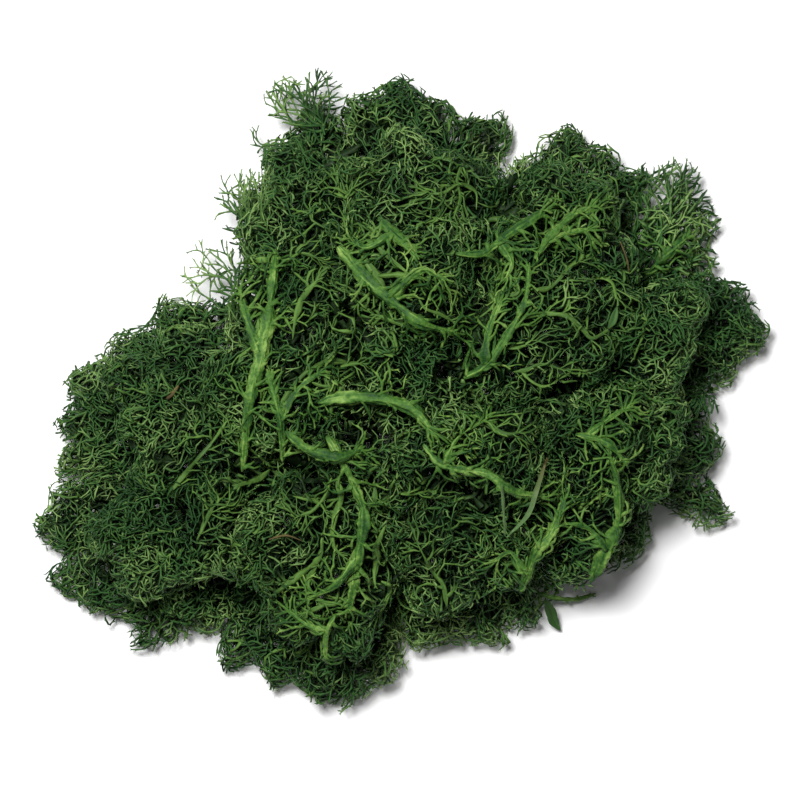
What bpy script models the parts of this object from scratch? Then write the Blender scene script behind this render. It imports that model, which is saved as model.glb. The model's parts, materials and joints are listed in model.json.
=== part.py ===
"""A clump of preserved reindeer moss: lichen tufts pressed together in one handful, lying on a flat surface.

Each tuft is a bouquet of clubs that leave one root and end side by side in a lumpy, cushion-like crown. The
tufts of the rim lie low and reach out along the surface, one stands in the middle, and five more lie on top,
partly turned over, so that thick stems show over the crowns. A few dry scraps are caught between them.

Lengths are in millimetres until to_metres turns them. +X is to the right of the clump and +Y is its far side.
"""

import math
from itertools import pairwise

import bmesh
import bpy
from mathutils import Matrix, Vector
from mathutils.bvhtree import BVHTree

MM = 0.001

# The lower layer of tufts rises from the clump's rim to its middle.
RIM_HEIGHT = 15.0
MIDDLE_HEIGHT = 38.0
ROUNDNESS = 0.75

# The clump's edge seen from above, clockwise from the right.
EDGE = [
    (73, 12), (62, -2), (64, -10), (66, -22), (58, -24), (48, -29), (38, -38), (28, -45),
    (16, -50), (0, -57), (-13, -63), (-24, -60), (-36, -50), (-52, -50), (-68, -41), (-72, -28),
    (-68, -14), (-67, 3), (-52, 17), (-40, 20), (-34, 28), (-33, 40), (-28, 49), (-14, 58),
    (0, 62), (20, 56), (22, 46), (34, 53), (50, 46), (60, 44), (60, 28), (68, 22),
]  # fmt: skip

# Pieces that touch keep this gap.
GAP = 0.3

# The clump has settled by this much, so that its lowest lobes are pressed flat.
SETTLING = 1.2

# A club is a long egg: this share of its width at the root, widening to its full width near the crown.
ROOT_SHARE = 0.36
SWELL_END = 0.75

# The clubs of a crown stand this far apart, each this wide, so that they fuse into one lumpy cushion.
CROWN_SPACING = 10.4
CROWN_WIDTH = 15.5
GOLDEN_TURN = math.pi * (3.0 - math.sqrt(5.0))

# How finely the clubs of one tuft are fused, and how many faces are left on it.
FUSE_STEP = 1.2
FACES_PER_MM2 = 0.062
FEWEST_FACES = 90
MOST_FACES = 290

# A stem is a six-sided bent tube. Its height is read from what lies under it, at a few places round each
# point, and it is too stiff to follow narrow hollows or to dive steeply.
STEM_BEVEL = 1
STEPS_PER_KNOT = 2
RESTING_SAMPLES = 6
FAR_ABOVE = 200.0
STIFFNESS = 8
STEEPEST = 0.7

MOSS_GREEN = (0.030, 0.085, 0.022, 1.0)
STEM_GREEN = (0.110, 0.220, 0.050, 1.0)
STRAW = (0.230, 0.210, 0.090, 1.0)
NEEDLE_BROWN = (0.160, 0.085, 0.035, 1.0)

# Tufts from the lowest to the topmost. A tuft takes its room out of every tuft listed before it.
# root: where its clubs meet. crown: the middle of its cushion, half its width and depth, and how far it
# stands above the lower layer's height. lobes: the clubs of its outer edge, as the far tip's place, its width
# and its thickness.
TUFTS = {
    "tuft_lower_left_edge": {
        "root": (-32, -30, 4),
        "lobes": [
            ((-53.0, -50.8, 4), 9, 8),
            ((-49.5, -50.8, 4), 7, 7),
            ((-39.5, -47.5, 6), 11, 10),
            ((-58.0, -44.5, 5), 11, 10),
            ((-46.0, -44.0, 12), 12, 10),
        ],
    },
    "tuft_lower_left": {
        "root": (-26, -20, 5),
        "crown": (-47, -28, 19, 13, 0),
        "lobes": [
            ((-73.2, -27.5, 6), 13, 11),
            ((-70.0, -38.6, 5), 11, 9),
            ((-64.0, -42.5, 6), 12, 11),
            ((-70.5, -22.0, 7), 14, 13),
        ],
    },
    "tuft_left": {
        "root": (-26, -3, 5),
        "crown": (-43, -3, 19, 18, 1),
        "lobes": [
            ((-66.5, 2.0, 8), 16, 15),
            ((-69.0, -6.0, 7), 12, 12),
            ((-68.5, -14.5, 7), 14, 13),
            ((-57.5, 9.0, 9), 15, 16),
            ((-47.5, 16.5, 10), 16, 17),
            ((-37.5, 18.5, 12), 16, 16),
            ((-22.0, -17.0, 28), 14, 14),
            ((-32.0, 19.0, 18), 15, 15),
        ],
    },
    "tuft_bottom": {
        "root": (-12, -22, 5),
        "crown": (-16, -35, 18, 20, 1),
        "lobes": [
            ((-13.5, -63.6, 7), 20, 15),
            ((-26.0, -59.0, 6), 13, 12),
            ((-3.0, -58.5, 7), 15, 14),
            ((-34.5, -55.0, 5), 12, 10),
            ((-32.0, -46.0, 8), 14, 14),
        ],
    },
    "tuft_bottom_right": {
        "root": (12, -20, 5),
        "crown": (13, -31, 16, 15, 0),
        "lobes": [
            ((3, -50.5, 7), 17, 15),
            ((12, -49, 7), 15, 14),
            ((19, -51, 6), 14, 12),
            ((27.5, -45.5, 6), 12, 11),
        ],
    },
    "tuft_lower_right": {
        "root": (33, -34, 5),
        "crown": (35, -21, 14, 11, 0),
        "lobes": [
            ((49.5, -24.0, 8), 14, 14),
            ((45.0, -30.5, 7), 9, 9),
            ((27.0, -33.0, 12), 13, 15),
        ],
    },
    "tuft_right_lower": {
        "root": (36, -9, 5),
        "crown": (51, -10, 12, 12, 2),
        "lobes": [
            ((62.5, -1.5, 8), 15, 15),
            ((64.4, -11.5, 8), 16, 16),
            ((66, -24, 5), 10, 9),
            ((57, -20, 8), 13, 12),
        ],
    },
    "tuft_right": {
        "root": (38, 9, 5),
        "crown": (53, 11, 14, 11, 1),
        "lobes": [
            ((73.4, 12.5, 7), 16, 13),
            ((70.0, 20.5, 7), 14, 12),
            ((67.5, 4, 6), 11, 9),
            ((61, 22, 8), 14, 13),
        ],
    },
    "tuft_upper_right": {
        "root": (45, 20, 7),
        "lobes": [
            ((58.0, 45.8, 5), 13, 8),
            ((62.3, 38.5, 5), 12, 8),
            ((62.4, 28.5, 5), 13, 8),
            ((51.0, 45.0, 6), 12, 9),
            ((54.0, 36.0, 10), 17, 10),
        ],
    },
    "tuft_top_right": {
        "root": (28, 22, 5),
        "crown": (35, 33, 15, 13, 0),
        "lobes": [
            ((34.0, 53.2, 7), 15, 12),
            ((42.0, 49.0, 8), 15, 13),
            ((49.0, 44.6, 7), 12, 11),
            ((26.5, 48.0, 6), 12, 10),
            ((22.5, 41.5, 6), 10, 9),
        ],
    },
    "tuft_top": {
        "root": (5, 26, 5),
        "crown": (4, 39, 17, 17, 2),
        "lobes": [
            ((-1.0, 63.0, 8), 18, 15),
            ((7.0, 60.0, 7), 15, 14),
            ((-9.0, 60.0, 8), 14, 14),
            ((21.4, 56.4, 6), 11, 10),
            ((15.0, 56.0, 8), 12, 12),
            ((19.5, 45.0, 9), 13, 14),
        ],
    },
    "tuft_top_left": {
        "root": (-12, 25, 5),
        "crown": (-20, 35, 13, 16, 1),
        "lobes": [
            ((-24, 51.5, 9), 15, 15),
            ((-31, 41, 9), 13, 14),
            ((-16, 58, 8), 15, 13),
            ((-30, 29, 12), 14, 15),
        ],
    },
    "sprig_top_left": {
        "root": (-14, 50, 17),
        "lobes": [((-28.5, 50.2, 8), 6, 5), ((-24.5, 61.5, 8), 7, 6), ((-16.0, 63.6, 9), 7, 6)],
    },
    "sprig_left_fork": {
        "root": (-26, 24, 17),
        "lobes": [((-35.0, 43.5, 8), 6, 5), ((-34.5, 37.0, 9), 6, 5), ((-30.5, 44.0, 13), 8, 6)],
    },
    "sprig_left_curl": {
        "root": (-27, 16, 17),
        "lobes": [
            ((-43.0, 27.0, 6), 6, 5),
            ((-39.5, 29.5, 8), 6, 5),
            ((-46, 20, 10), 6, 5),
            ((-36, 23, 12), 9, 7),
        ],
    },
    "tuft_middle": {"root": (2, -4, 3), "crown": (1, -2, 26, 23, 0), "lobes": []},
    "tuft_right_middle": {
        "root": (24, -14, 20),
        "crown": (43, -7, 11, 10, 4),
        "lobes": [((53, -3, 27), 13, 12), ((50, -15, 25), 13, 12)],
    },
    "tuft_centre_left": {
        "root": (-30, -14, 20),
        "crown": (-21, 11, 11, 16, 3),
        "lobes": [((-26, 28, 31), 14, 12), ((-15, 25, 33), 14, 12)],
    },
    "tuft_right_centre": {
        "root": (18, 4, 20),
        "crown": (31, 15, 16, 16, 5),
        "lobes": [((25, 36, 26), 14, 12), ((37, 32, 27), 14, 12), ((49, 19, 27), 14, 12)],
    },
    "tuft_centre_top": {
        "root": (11, 11, 22),
        "crown": (-1, 26, 14, 12, 5),
        "lobes": [((-15, 33, 33), 12, 10), ((9, 36, 31), 12, 10)],
    },
    "tuft_centre_right": {
        "root": (26, -20, 20),
        "crown": (13, -9, 14, 10, 4),
        "lobes": [((0, -14, 35), 12, 10)],
    },
}

# Thick stems that show on top of the crowns: (x, y) along the middle, with the stem's radius there.
# A branch is a second path that leaves the first one and is fused to it.
STEMS = {
    "stem_left": [
        [(-30.6, -15.4, 0.7), (-29.2, -2.0, 1.1), (-26.6, 8.4, 1.3), (-25.0, 18.0, 1.0), (-24.0, 28.0, 0.6)],
        [(-26.9, 8.0, 1.1), (-29.2, 14.0, 1.1), (-31.0, 20.6, 0.6)],
    ],
    "stem_left_inner": [
        [(-22.6, -13.6, 0.6), (-23.0, -5.6, 0.9), (-25.0, 3.0, 0.9)],
        [(-22.9, -5.0, 0.8), (-19.6, 0.6, 0.7), (-14.8, 4.4, 0.5)],
    ],
    "stem_bottom": [
        [(-13.8, -8.4, 0.7), (-9.2, -16.8, 1.1), (-6.6, -24.0, 1.3), (-7.8, -33.0, 1.2), (-9.6, -43.0, 0.7)],
        [(-7.8, -32.6, 0.9), (-12.6, -38.0, 0.8), (-18.6, -41.0, 0.5)],
    ],
    "stem_bottom_fork": [
        [(-12.2, -43.6, 0.6), (-14.0, -47.4, 0.8), (-14.2, -52.6, 0.5)],
        [(-13.6, -46.8, 0.7), (-17.6, -46.0, 0.7), (-21.4, -43.0, 0.5)],
    ],
    "stem_dark_bend": [[(-22.0, -7.4, 0.6), (-17.6, -11.0, 1.2), (-11.8, -12.6, 1.2), (-7.4, -11.0, 0.6)]],
    "stem_centre_arch": [
        [(-15.6, -1.8, 0.6), (-10.2, -0.8, 1.1), (-3.0, -1.2, 1.2), (3.2, -3.4, 1.2), (7.0, -7.8, 0.6)],
    ],
    "stem_centre_top": [
        [(-11.6, 28.8, 0.9), (-7.0, 23.4, 1.2), (-1.4, 18.4, 1.3), (4.8, 13.8, 1.2), (11.4, 12.0, 0.6)],
        [(-1.8, 18.8, 0.9), (4.6, 24.0, 0.8), (8.6, 22.4, 0.5)],
    ],
    "stem_top": [
        [(-3.8, 34.6, 0.6), (-1.4, 31.8, 1.1), (3.0, 28.2, 0.7)],
        [(-1.0, 31.2, 0.8), (-5.8, 28.6, 0.7), (-9.0, 29.6, 0.4)],
    ],
    "stem_upper_bough": [
        [(11.4, 27.4, 0.6), (16.8, 27.6, 0.8), (20.4, 30.4, 1.0), (25.4, 33.6, 1.0), (29.4, 36.2, 0.5)],
        [(20.0, 30.0, 0.7), (22.4, 25.8, 0.5), (21.4, 22.6, 0.4)],
    ],
    "stem_upper_right": [
        [(27.0, 26.4, 0.7), (30.4, 31.0, 1.2), (34.2, 34.8, 1.0), (39.0, 37.2, 0.5)],
        [(29.6, 30.0, 0.8), (33.8, 31.6, 0.7), (38.4, 32.4, 0.4)],
    ],
    "stem_far_right": [[(49.2, 23.4, 0.6), (53.6, 27.6, 1.0), (58.2, 31.6, 0.6)]],
    "stem_right_pair": [
        [(13.0, 3.0, 0.8), (17.4, 5.6, 0.9), (21.6, 11.4, 0.9), (25.0, 18.4, 0.8), (25.8, 25.0, 0.5)],
        [(17.0, 5.4, 0.8), (17.8, 12.0, 0.8), (20.4, 18.4, 0.5)],
    ],
    "stem_right_middle": [
        [(35.0, -8.0, 0.6), (41.0, -9.6, 0.8), (45.0, -13.8, 0.5)],
        [(37.0, -8.4, 0.6), (42.2, -4.6, 0.6), (45.6, -2.6, 0.4)],
    ],
    "stem_centre_right": [
        [(5.0, -10.0, 0.6), (9.0, -14.2, 0.9), (17.0, -15.6, 0.8), (23.2, -19.4, 1.0), (28.6, -20.2, 0.6)],
        [(9.2, -13.8, 0.7), (12.0, -8.6, 0.6), (18.4, -4.4, 0.4)],
    ],
    "stem_lower_right": [
        [(38.2, -37.8, 0.7), (40.6, -33.0, 1.2), (43.6, -26.0, 1.2), (43.4, -18.0, 0.8), (41.6, -11.8, 0.5)],
        [(41.4, -31.0, 0.8), (37.6, -26.6, 0.6), (31.4, -25.6, 0.4)],
    ],
    "stem_lower_centre": [
        [(24.2, -39.6, 0.6), (27.2, -31.8, 1.0), (30.6, -27.2, 1.0), (33.0, -20.4, 0.5)],
        [(25.6, -36.0, 0.6), (22.4, -31.4, 0.5), (19.0, -33.2, 0.4)],
    ],
}

# Scraps caught in the moss: (x, y) along the middle, the width across, the thickness and the colour.
SCRAPS = {
    "grass_blade": ([(29.4, -12.8), (26.8, -19.6), (24.8, -25.6), (21.6, -28.2)], 1.7, 0.5, STRAW),
    "straw": ([(20.4, -17.8), (20.8, -23.0), (21.2, -28.0)], 0.7, 0.5, STRAW),
    "brown_needle": ([(44.0, 30.0), (45.2, 26.8), (45.8, 23.8)], 0.7, 0.5, NEEDLE_BROWN),
    "tan_needle": ([(-25.4, -28.8), (-22.0, -28.0), (-18.8, -29.0)], 0.6, 0.5, NEEDLE_BROWN),
    "bark_flake": ([(-45.6, -1.4), (-43.8, 0.4), (-42.6, 2.0)], 1.1, 0.5, NEEDLE_BROWN),
    "leaf_scrap": ([(40.8, 11.6), (42.6, 14.6), (43.0, 18.2)], 2.2, 0.5, MOSS_GREEN),
    "leaf_tail": ([(29.6, -41.4), (30.8, -45.0), (32.6, -47.4)], 2.6, 1.2, MOSS_GREEN),
    "curled_sprig": ([(28.0, -39.8), (31.6, -41.0), (36.0, -41.2), (39.4, -40.4)], 1.1, 1.1, STEM_GREEN),
}


def start_empty():
    """Removes whatever the scene holds."""
    for obj in list(bpy.data.objects):
        bpy.data.objects.remove(obj)


def new_collection(name):
    made = bpy.data.collections.new(name)
    bpy.context.scene.collection.children.link(made)
    return made


def finish_of(name, colour, roughness):
    """A plain matt finish."""
    material = bpy.data.materials.new(name)
    material.use_nodes = True
    shader = material.node_tree.nodes["Principled BSDF"]
    shader.inputs["Base Color"].default_value = colour
    shader.inputs["Roughness"].default_value = roughness
    shader.inputs["Metallic"].default_value = 0.0
    material.diffuse_color = colour
    return material


def smoothstep(value):
    held = min(1.0, max(0.0, value))
    return held * held * (3.0 - 2.0 * held)


def reach_towards(x, y):
    """How far the clump's edge is from its middle, in the direction of (x, y)."""
    reach = 0.0
    heading = Vector((x, y)).normalized()
    for k, corner in enumerate(EDGE):
        start = Vector(corner)
        along = Vector(EDGE[(k + 1) % len(EDGE)]) - start
        slant = heading.cross(along)
        if abs(slant) < 1e-9:
            continue
        distance = start.cross(along) / slant
        share = start.cross(heading) / slant
        if distance > 0.0 and 0.0 <= share <= 1.0:
            reach = max(reach, distance)
    return reach


def layer_height(x, y):
    """How high the lower layer of tufts stands at a place."""
    if x == 0.0 and y == 0.0:
        return MIDDLE_HEIGHT
    share = min(1.0, math.hypot(x, y) / reach_towards(x, y))
    return RIM_HEIGHT + (MIDDLE_HEIGHT - RIM_HEIGHT) * (1.0 - share * share) ** ROUNDNESS


def crown_clubs(crown):
    """Clubs spread evenly over a crown's oval, like the seeds of a sunflower, each as its tip and width."""
    middle_x, middle_y, half_width, half_depth, lift = crown
    count = round(math.pi * half_width * half_depth / (CROWN_SPACING * CROWN_SPACING * math.sqrt(0.75)))
    for k in range(count):
        out = math.sqrt((k + 0.5) / count)
        x = middle_x + half_width * out * math.cos(k * GOLDEN_TURN)
        y = middle_y + half_depth * out * math.sin(k * GOLDEN_TURN)
        droop = lift * out * out
        yield (x, y, layer_height(x, y) + lift - droop), CROWN_WIDTH, CROWN_WIDTH


def add_club(mesh, root, tip, width, thickness):
    """Adds one club to mesh: an egg that starts narrow at root and ends in a rounded crown at tip."""
    along = (tip - root).normalized()
    length = (tip - root).length
    aside = along.cross(Vector((0.0, 0.0, 1.0))).normalized()
    above = aside.cross(along)
    made = bmesh.ops.create_icosphere(mesh, subdivisions=3, radius=1.0)
    for vert in made["verts"]:
        a, b, c = vert.co
        share = (a + 1.0) / 2.0
        swell = ROOT_SHARE + (1.0 - ROOT_SHARE) * smoothstep(share / SWELL_END)
        vert.co = (
            root
            + along * (length * share)
            + aside * (b * swell * width / 2.0)
            + above * (c * swell * thickness / 2.0)
        )


def evaluated_mesh(obj):
    """A new mesh with obj's modifiers applied."""
    bpy.context.view_layer.update()
    return bpy.data.meshes.new_from_object(obj.evaluated_get(bpy.context.evaluated_depsgraph_get()))


def bake_modifiers(obj):
    mesh = evaluated_mesh(obj)
    obj.modifiers.clear()
    obj.data = mesh


def keep_largest_body(obj):
    """Keeps the largest of obj's separate bodies, and drops the crumbs that cuts leave."""
    mesh = bmesh.new()
    mesh.from_mesh(obj.data)
    bmesh.ops.remove_doubles(mesh, verts=mesh.verts, dist=0.01)
    left = set(mesh.verts)
    bodies = []
    while left:
        body = {left.pop()}
        search = list(body)
        while search:
            vert = search.pop()
            for edge in vert.link_edges:
                other = edge.other_vert(vert)
                if other in left:
                    left.discard(other)
                    body.add(other)
                    search.append(other)
        bodies.append(body)
    bodies.sort(key=len, reverse=True)
    crumbs = [vert for body in bodies[1:] for vert in body]
    bmesh.ops.delete(mesh, geom=crumbs, context="VERTS")
    mesh.to_mesh(obj.data)
    mesh.free()


def thin_out(obj, faces):
    """Lowers obj's mesh to about this many triangles."""
    obj.data.calc_loop_triangles()
    ratio = faces / max(1, len(obj.data.loop_triangles))
    if ratio < 1.0:
        thin = obj.modifiers.new("thin", "DECIMATE")
        thin.ratio = ratio
        thin.use_collapse_triangulate = True
        bake_modifiers(obj)


def flatten_underside(obj):
    """Cuts obj off flat where the clump rests."""
    mesh = bmesh.new()
    mesh.from_mesh(obj.data)
    everything = list(mesh.verts) + list(mesh.edges) + list(mesh.faces)
    bmesh.ops.bisect_plane(
        mesh, geom=everything, dist=0.001, plane_co=(0, 0, 0), plane_no=(0, 0, 1), clear_inner=True
    )
    rim = [edge for edge in mesh.edges if edge.is_boundary]
    bmesh.ops.holes_fill(mesh, edges=rim, sides=0)
    bmesh.ops.triangulate(mesh, faces=mesh.faces)
    bmesh.ops.recalc_face_normals(mesh, faces=mesh.faces)
    mesh.to_mesh(obj.data)
    mesh.free()


def build_tuft(name, tuft, collection, finish):
    """One tuft: its clubs fused into one lumpy body, and cut off flat below."""
    root = Vector(tuft["root"])
    clubs = list(tuft["lobes"])
    if "crown" in tuft:
        clubs += crown_clubs(tuft["crown"])
    mesh = bmesh.new()
    for tip, width, thickness in clubs:
        add_club(mesh, root, Vector(tip), width, thickness)
    bmesh.ops.translate(mesh, verts=mesh.verts, vec=(0.0, 0.0, -SETTLING))
    data = bpy.data.meshes.new(name)
    mesh.to_mesh(data)
    mesh.free()
    made = bpy.data.objects.new(name, data)
    collection.objects.link(made)
    fuse = made.modifiers.new("fuse", "REMESH")
    fuse.mode = "VOXEL"
    fuse.voxel_size = FUSE_STEP
    bake_modifiers(made)
    area = sum(face.area for face in made.data.polygons)
    thin_out(made, min(MOST_FACES, max(FEWEST_FACES, area * FACES_PER_MM2)))
    flatten_underside(made)
    keep_largest_body(made)
    made.data.materials.clear()
    made.data.materials.append(finish)
    return made


def swollen_copy(obj, by, collection):
    """A cutter: obj with its surface moved out by this much."""
    cutter = bpy.data.objects.new("cutter_" + obj.name, obj.data.copy())
    collection.objects.link(cutter)
    cutter.hide_render = True
    cutter.display_type = "WIRE"
    normals = [vert.normal.copy() for vert in obj.data.vertices]
    for vert, normal in zip(cutter.data.vertices, normals):
        vert.co += normal * by
    return cutter


def surface_of(obj):
    return BVHTree.FromPolygons(
        [vert.co for vert in obj.data.vertices], [face.vertices for face in obj.data.polygons]
    )


def make_room(lower, cutter):
    """Cuts the cutter's space out of lower, if they meet."""
    if not surface_of(lower).overlap(surface_of(cutter)):
        return
    cut = lower.modifiers.new("room", "BOOLEAN")
    cut.operation = "DIFFERENCE"
    cut.object = cutter
    cut.solver = "EXACT"
    bake_modifiers(lower)
    keep_largest_body(lower)


class MossTop:
    """How high the clump stands so far."""

    def __init__(self):
        self.trees = []

    def add(self, obj):
        self.trees.append(surface_of(obj))

    def height(self, x, y, reach):
        """The highest point within reach of (x, y), or the surface under the clump where nothing is."""
        highest = 0.0
        for k in range(RESTING_SAMPLES):
            turn = 2.0 * math.pi * k / RESTING_SAMPLES
            place = Vector((x + reach * math.cos(turn), y + reach * math.sin(turn), FAR_ABOVE))
            for tree in self.trees:
                hit, _, _, _ = tree.ray_cast(place, Vector((0, 0, -1)))
                if hit:
                    highest = max(highest, hit.z)
        return highest


def tube_mesh(points, radii, bevel):
    """A closed bent tube through points, with its own radius at each."""
    curve = bpy.data.curves.new("tube", "CURVE")
    curve.dimensions = "3D"
    curve.bevel_depth = 1.0
    curve.bevel_resolution = bevel
    curve.use_fill_caps = True
    spline = curve.splines.new("POLY")
    spline.points.add(len(points) - 1)
    for knot, point, radius in zip(spline.points, points, radii):
        knot.co = (*point, 1.0)
        knot.radius = radius
    holder = bpy.data.objects.new("tube", curve)
    bpy.context.scene.collection.objects.link(holder)
    made = evaluated_mesh(holder)
    bpy.data.objects.remove(holder)
    mesh = bmesh.new()
    mesh.from_mesh(made)
    bmesh.ops.remove_doubles(mesh, verts=mesh.verts, dist=0.001)
    bmesh.ops.triangulate(mesh, faces=mesh.faces)
    bmesh.ops.recalc_face_normals(mesh, faces=mesh.faces)
    mesh.to_mesh(made)
    mesh.free()
    return made


def rounded_path(knots):
    """Points on one smooth curve through knots, each knot being any list of numbers."""
    first = [2 * a - b for a, b in zip(knots[0], knots[1])]
    last = [2 * a - b for a, b in zip(knots[-1], knots[-2])]
    padded = [first, *knots, last]
    path = []
    for k in range(1, len(padded) - 2):
        before, here, there, after = padded[k - 1 : k + 3]
        for step in range(STEPS_PER_KNOT):
            t = step / STEPS_PER_KNOT
            point = []
            for a, b, c, d in zip(before, here, there, after):
                bend = (2 * a - 5 * b + 4 * c - d) * t * t + (3 * b - a - 3 * c + d) * t**3
                point.append(b + 0.5 * ((c - a) * t + bend))
            path.append(point)
    path.append(list(knots[-1]))
    return path


def resting_path(spots, moss):
    """Turns (x, y, radius) spots into middle points that lie on the moss, bridging its hollows."""
    heights = [moss.height(x, y, radius + GAP) + radius + GAP for x, y, radius in spots]
    for _ in range(STIFFNESS):
        for k in range(1, len(heights) - 1):
            heights[k] = max(heights[k], (heights[k - 1] + heights[k + 1]) / 2.0)
    for here, there in [*pairwise(range(len(spots))), *pairwise(reversed(range(len(spots))))]:
        dive = STEEPEST * math.dist(spots[here][:2], spots[there][:2])
        heights[there] = max(heights[there], heights[here] - dive)
    return [(x, y, height) for (x, y, _), height in zip(spots, heights)]


def build_stem(name, paths, moss, collection, finish):
    """One stem that lies over the crowns, with its branches fused to it."""
    spots = rounded_path(paths[0])
    points = resting_path(spots, moss)
    stem = bpy.data.objects.new(name, tube_mesh(points, [radius for _, _, radius in spots], STEM_BEVEL))
    collection.objects.link(stem)
    for path in paths[1:]:
        spots = rounded_path(path)
        branch_points = resting_path(spots, moss)
        # The branch starts in the middle of the stem that it grows from, and leaves it smoothly.
        start = min(points, key=lambda point: (Vector(point).xy - Vector(spots[0]).xy).length)
        rise = start[2] - branch_points[0][2]
        last = len(branch_points) - 1
        branch_points = [
            (x, y, z + rise * (1.0 - smoothstep(1.5 * k / last))) for k, (x, y, z) in enumerate(branch_points)
        ]
        tube = tube_mesh(branch_points, [radius for _, _, radius in spots], STEM_BEVEL)
        branch = bpy.data.objects.new("branch", tube)
        collection.objects.link(branch)
        join = stem.modifiers.new("join", "BOOLEAN")
        join.operation = "UNION"
        join.object = branch
        join.solver = "EXACT"
        bake_modifiers(stem)
        bpy.data.objects.remove(branch)
    keep_largest_body(stem)
    stem.data.materials.clear()
    stem.data.materials.append(finish)
    return stem


def build_scrap(name, spots, width, thickness, moss, collection, finish):
    """One dry scrap: a flat, tapering strip that lies on the moss and dips to the surface past its edge."""
    path = rounded_path(spots)
    last = len(path) - 1
    taper = [0.35 + 0.65 * math.sin(math.pi * (0.12 + 0.76 * k / last)) for k in range(last + 1)]
    radii = [width / 2.0 * share for share in taper]
    flatness = thickness / width
    mesh = tube_mesh([(x, y, 0.0) for x, y in path], radii, 0)
    points = resting_path([(x, y, thickness / 2.0) for x, y in path], moss)
    for vert in mesh.vertices:
        nearest = min(points, key=lambda point: (Vector(point).xy - vert.co.xy).length)
        vert.co.z = nearest[2] + vert.co.z * flatness
    scrap = bpy.data.objects.new(name, mesh)
    collection.objects.link(scrap)
    scrap.data.materials.clear()
    scrap.data.materials.append(finish)
    return scrap


def bounds(obj):
    corners = [vert.co for vert in obj.data.vertices]
    low = Vector([min(corner[k] for corner in corners) for k in range(3)])
    high = Vector([max(corner[k] for corner in corners) for k in range(3)])
    return low, high


def to_metres(objects, holder):
    """Turns millimetres to metres, and puts the middle of the footprint at the origin."""
    corners = [corner for obj in objects for corner in bounds(obj)]
    middle_x = (min(c.x for c in corners) + max(c.x for c in corners)) / 2.0
    middle_y = (min(c.y for c in corners) + max(c.y for c in corners)) / 2.0
    move = Matrix.Scale(MM, 4) @ Matrix.Translation((-middle_x, -middle_y, 0.0))
    for obj in objects:
        obj.data.transform(move)
        obj.data.update()
        obj.parent = holder


def build_clump():
    """The whole clump, from the lowest tuft to the scraps on top."""
    start_empty()
    clump = new_collection("moss_clump")
    cutters = new_collection("cutters")
    cutters.hide_render = True
    moss_finish = finish_of("moss", MOSS_GREEN, 0.85)
    stem_finish = finish_of("stem", STEM_GREEN, 0.7)

    pieces = []
    moss = MossTop()
    for name, tuft in TUFTS.items():
        pieces.append(build_tuft(name, tuft, clump, moss_finish))
        moss.add(pieces[-1])
    for name, paths in STEMS.items():
        pieces.append(build_stem(name, paths, moss, clump, stem_finish))
        moss.add(pieces[-1])
    for name, (spots, width, thickness, colour) in SCRAPS.items():
        finish = finish_of(name, colour, 0.6)
        pieces.append(build_scrap(name, spots, width, thickness, moss, clump, finish))
        moss.add(pieces[-1])

    for upper in range(1, len(pieces)):
        cutter = swollen_copy(pieces[upper], GAP, cutters)
        for lower in range(upper):
            make_room(pieces[lower], cutter)
        bpy.data.objects.remove(cutter)

    holder = bpy.data.objects.new("clump", None)
    clump.objects.link(holder)
    to_metres(pieces, holder)


build_clump()
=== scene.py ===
"""The looks of a clump of preserved reindeer moss, seen from straight above: the thick stems that show on it,
the scraps caught between them, and every branchlet of its tufts.

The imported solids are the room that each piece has. Lengths are in millimetres until a mesh is made.
"""

import json
import math

import bpy
import numpy as np
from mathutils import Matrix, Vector
from mathutils.bvhtree import BVHTree

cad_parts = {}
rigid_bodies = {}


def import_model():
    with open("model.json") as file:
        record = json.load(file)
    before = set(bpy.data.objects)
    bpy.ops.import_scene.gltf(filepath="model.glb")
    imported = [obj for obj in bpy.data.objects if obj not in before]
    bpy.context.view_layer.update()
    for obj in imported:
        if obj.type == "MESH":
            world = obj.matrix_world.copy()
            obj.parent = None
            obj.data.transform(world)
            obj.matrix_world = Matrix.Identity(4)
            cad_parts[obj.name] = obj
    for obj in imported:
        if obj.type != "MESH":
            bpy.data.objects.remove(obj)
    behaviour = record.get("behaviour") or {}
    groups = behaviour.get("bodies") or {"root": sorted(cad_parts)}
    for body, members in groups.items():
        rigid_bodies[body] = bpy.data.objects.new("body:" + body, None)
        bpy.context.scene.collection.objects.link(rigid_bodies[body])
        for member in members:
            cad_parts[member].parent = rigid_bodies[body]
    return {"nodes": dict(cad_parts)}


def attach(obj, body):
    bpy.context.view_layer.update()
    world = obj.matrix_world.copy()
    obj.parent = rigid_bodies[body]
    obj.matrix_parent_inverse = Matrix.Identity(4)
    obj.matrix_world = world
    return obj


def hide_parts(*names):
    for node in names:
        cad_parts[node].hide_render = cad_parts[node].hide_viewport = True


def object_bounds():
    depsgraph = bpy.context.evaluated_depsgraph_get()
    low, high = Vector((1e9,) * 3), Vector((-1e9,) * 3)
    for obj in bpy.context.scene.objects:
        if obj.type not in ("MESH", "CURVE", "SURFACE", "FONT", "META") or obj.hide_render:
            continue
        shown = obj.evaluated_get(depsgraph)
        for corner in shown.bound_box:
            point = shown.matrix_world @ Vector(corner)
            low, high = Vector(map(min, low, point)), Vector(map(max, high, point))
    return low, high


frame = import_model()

cad_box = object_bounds()

# THE THICK STEMS
# The oldest branches of reindeer lichen: flattened, grooved stems, about two millimetres wide, that took less of
# the green dye than the rest. They lie on the crowns where tufts were turned over, with webs in their forks and
# short antler-like twigs along their sides, and they end where they tore or where they go on as twigs.

MM = 0.001
UP = np.array([0.0, 0.0, 1.0])

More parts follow.
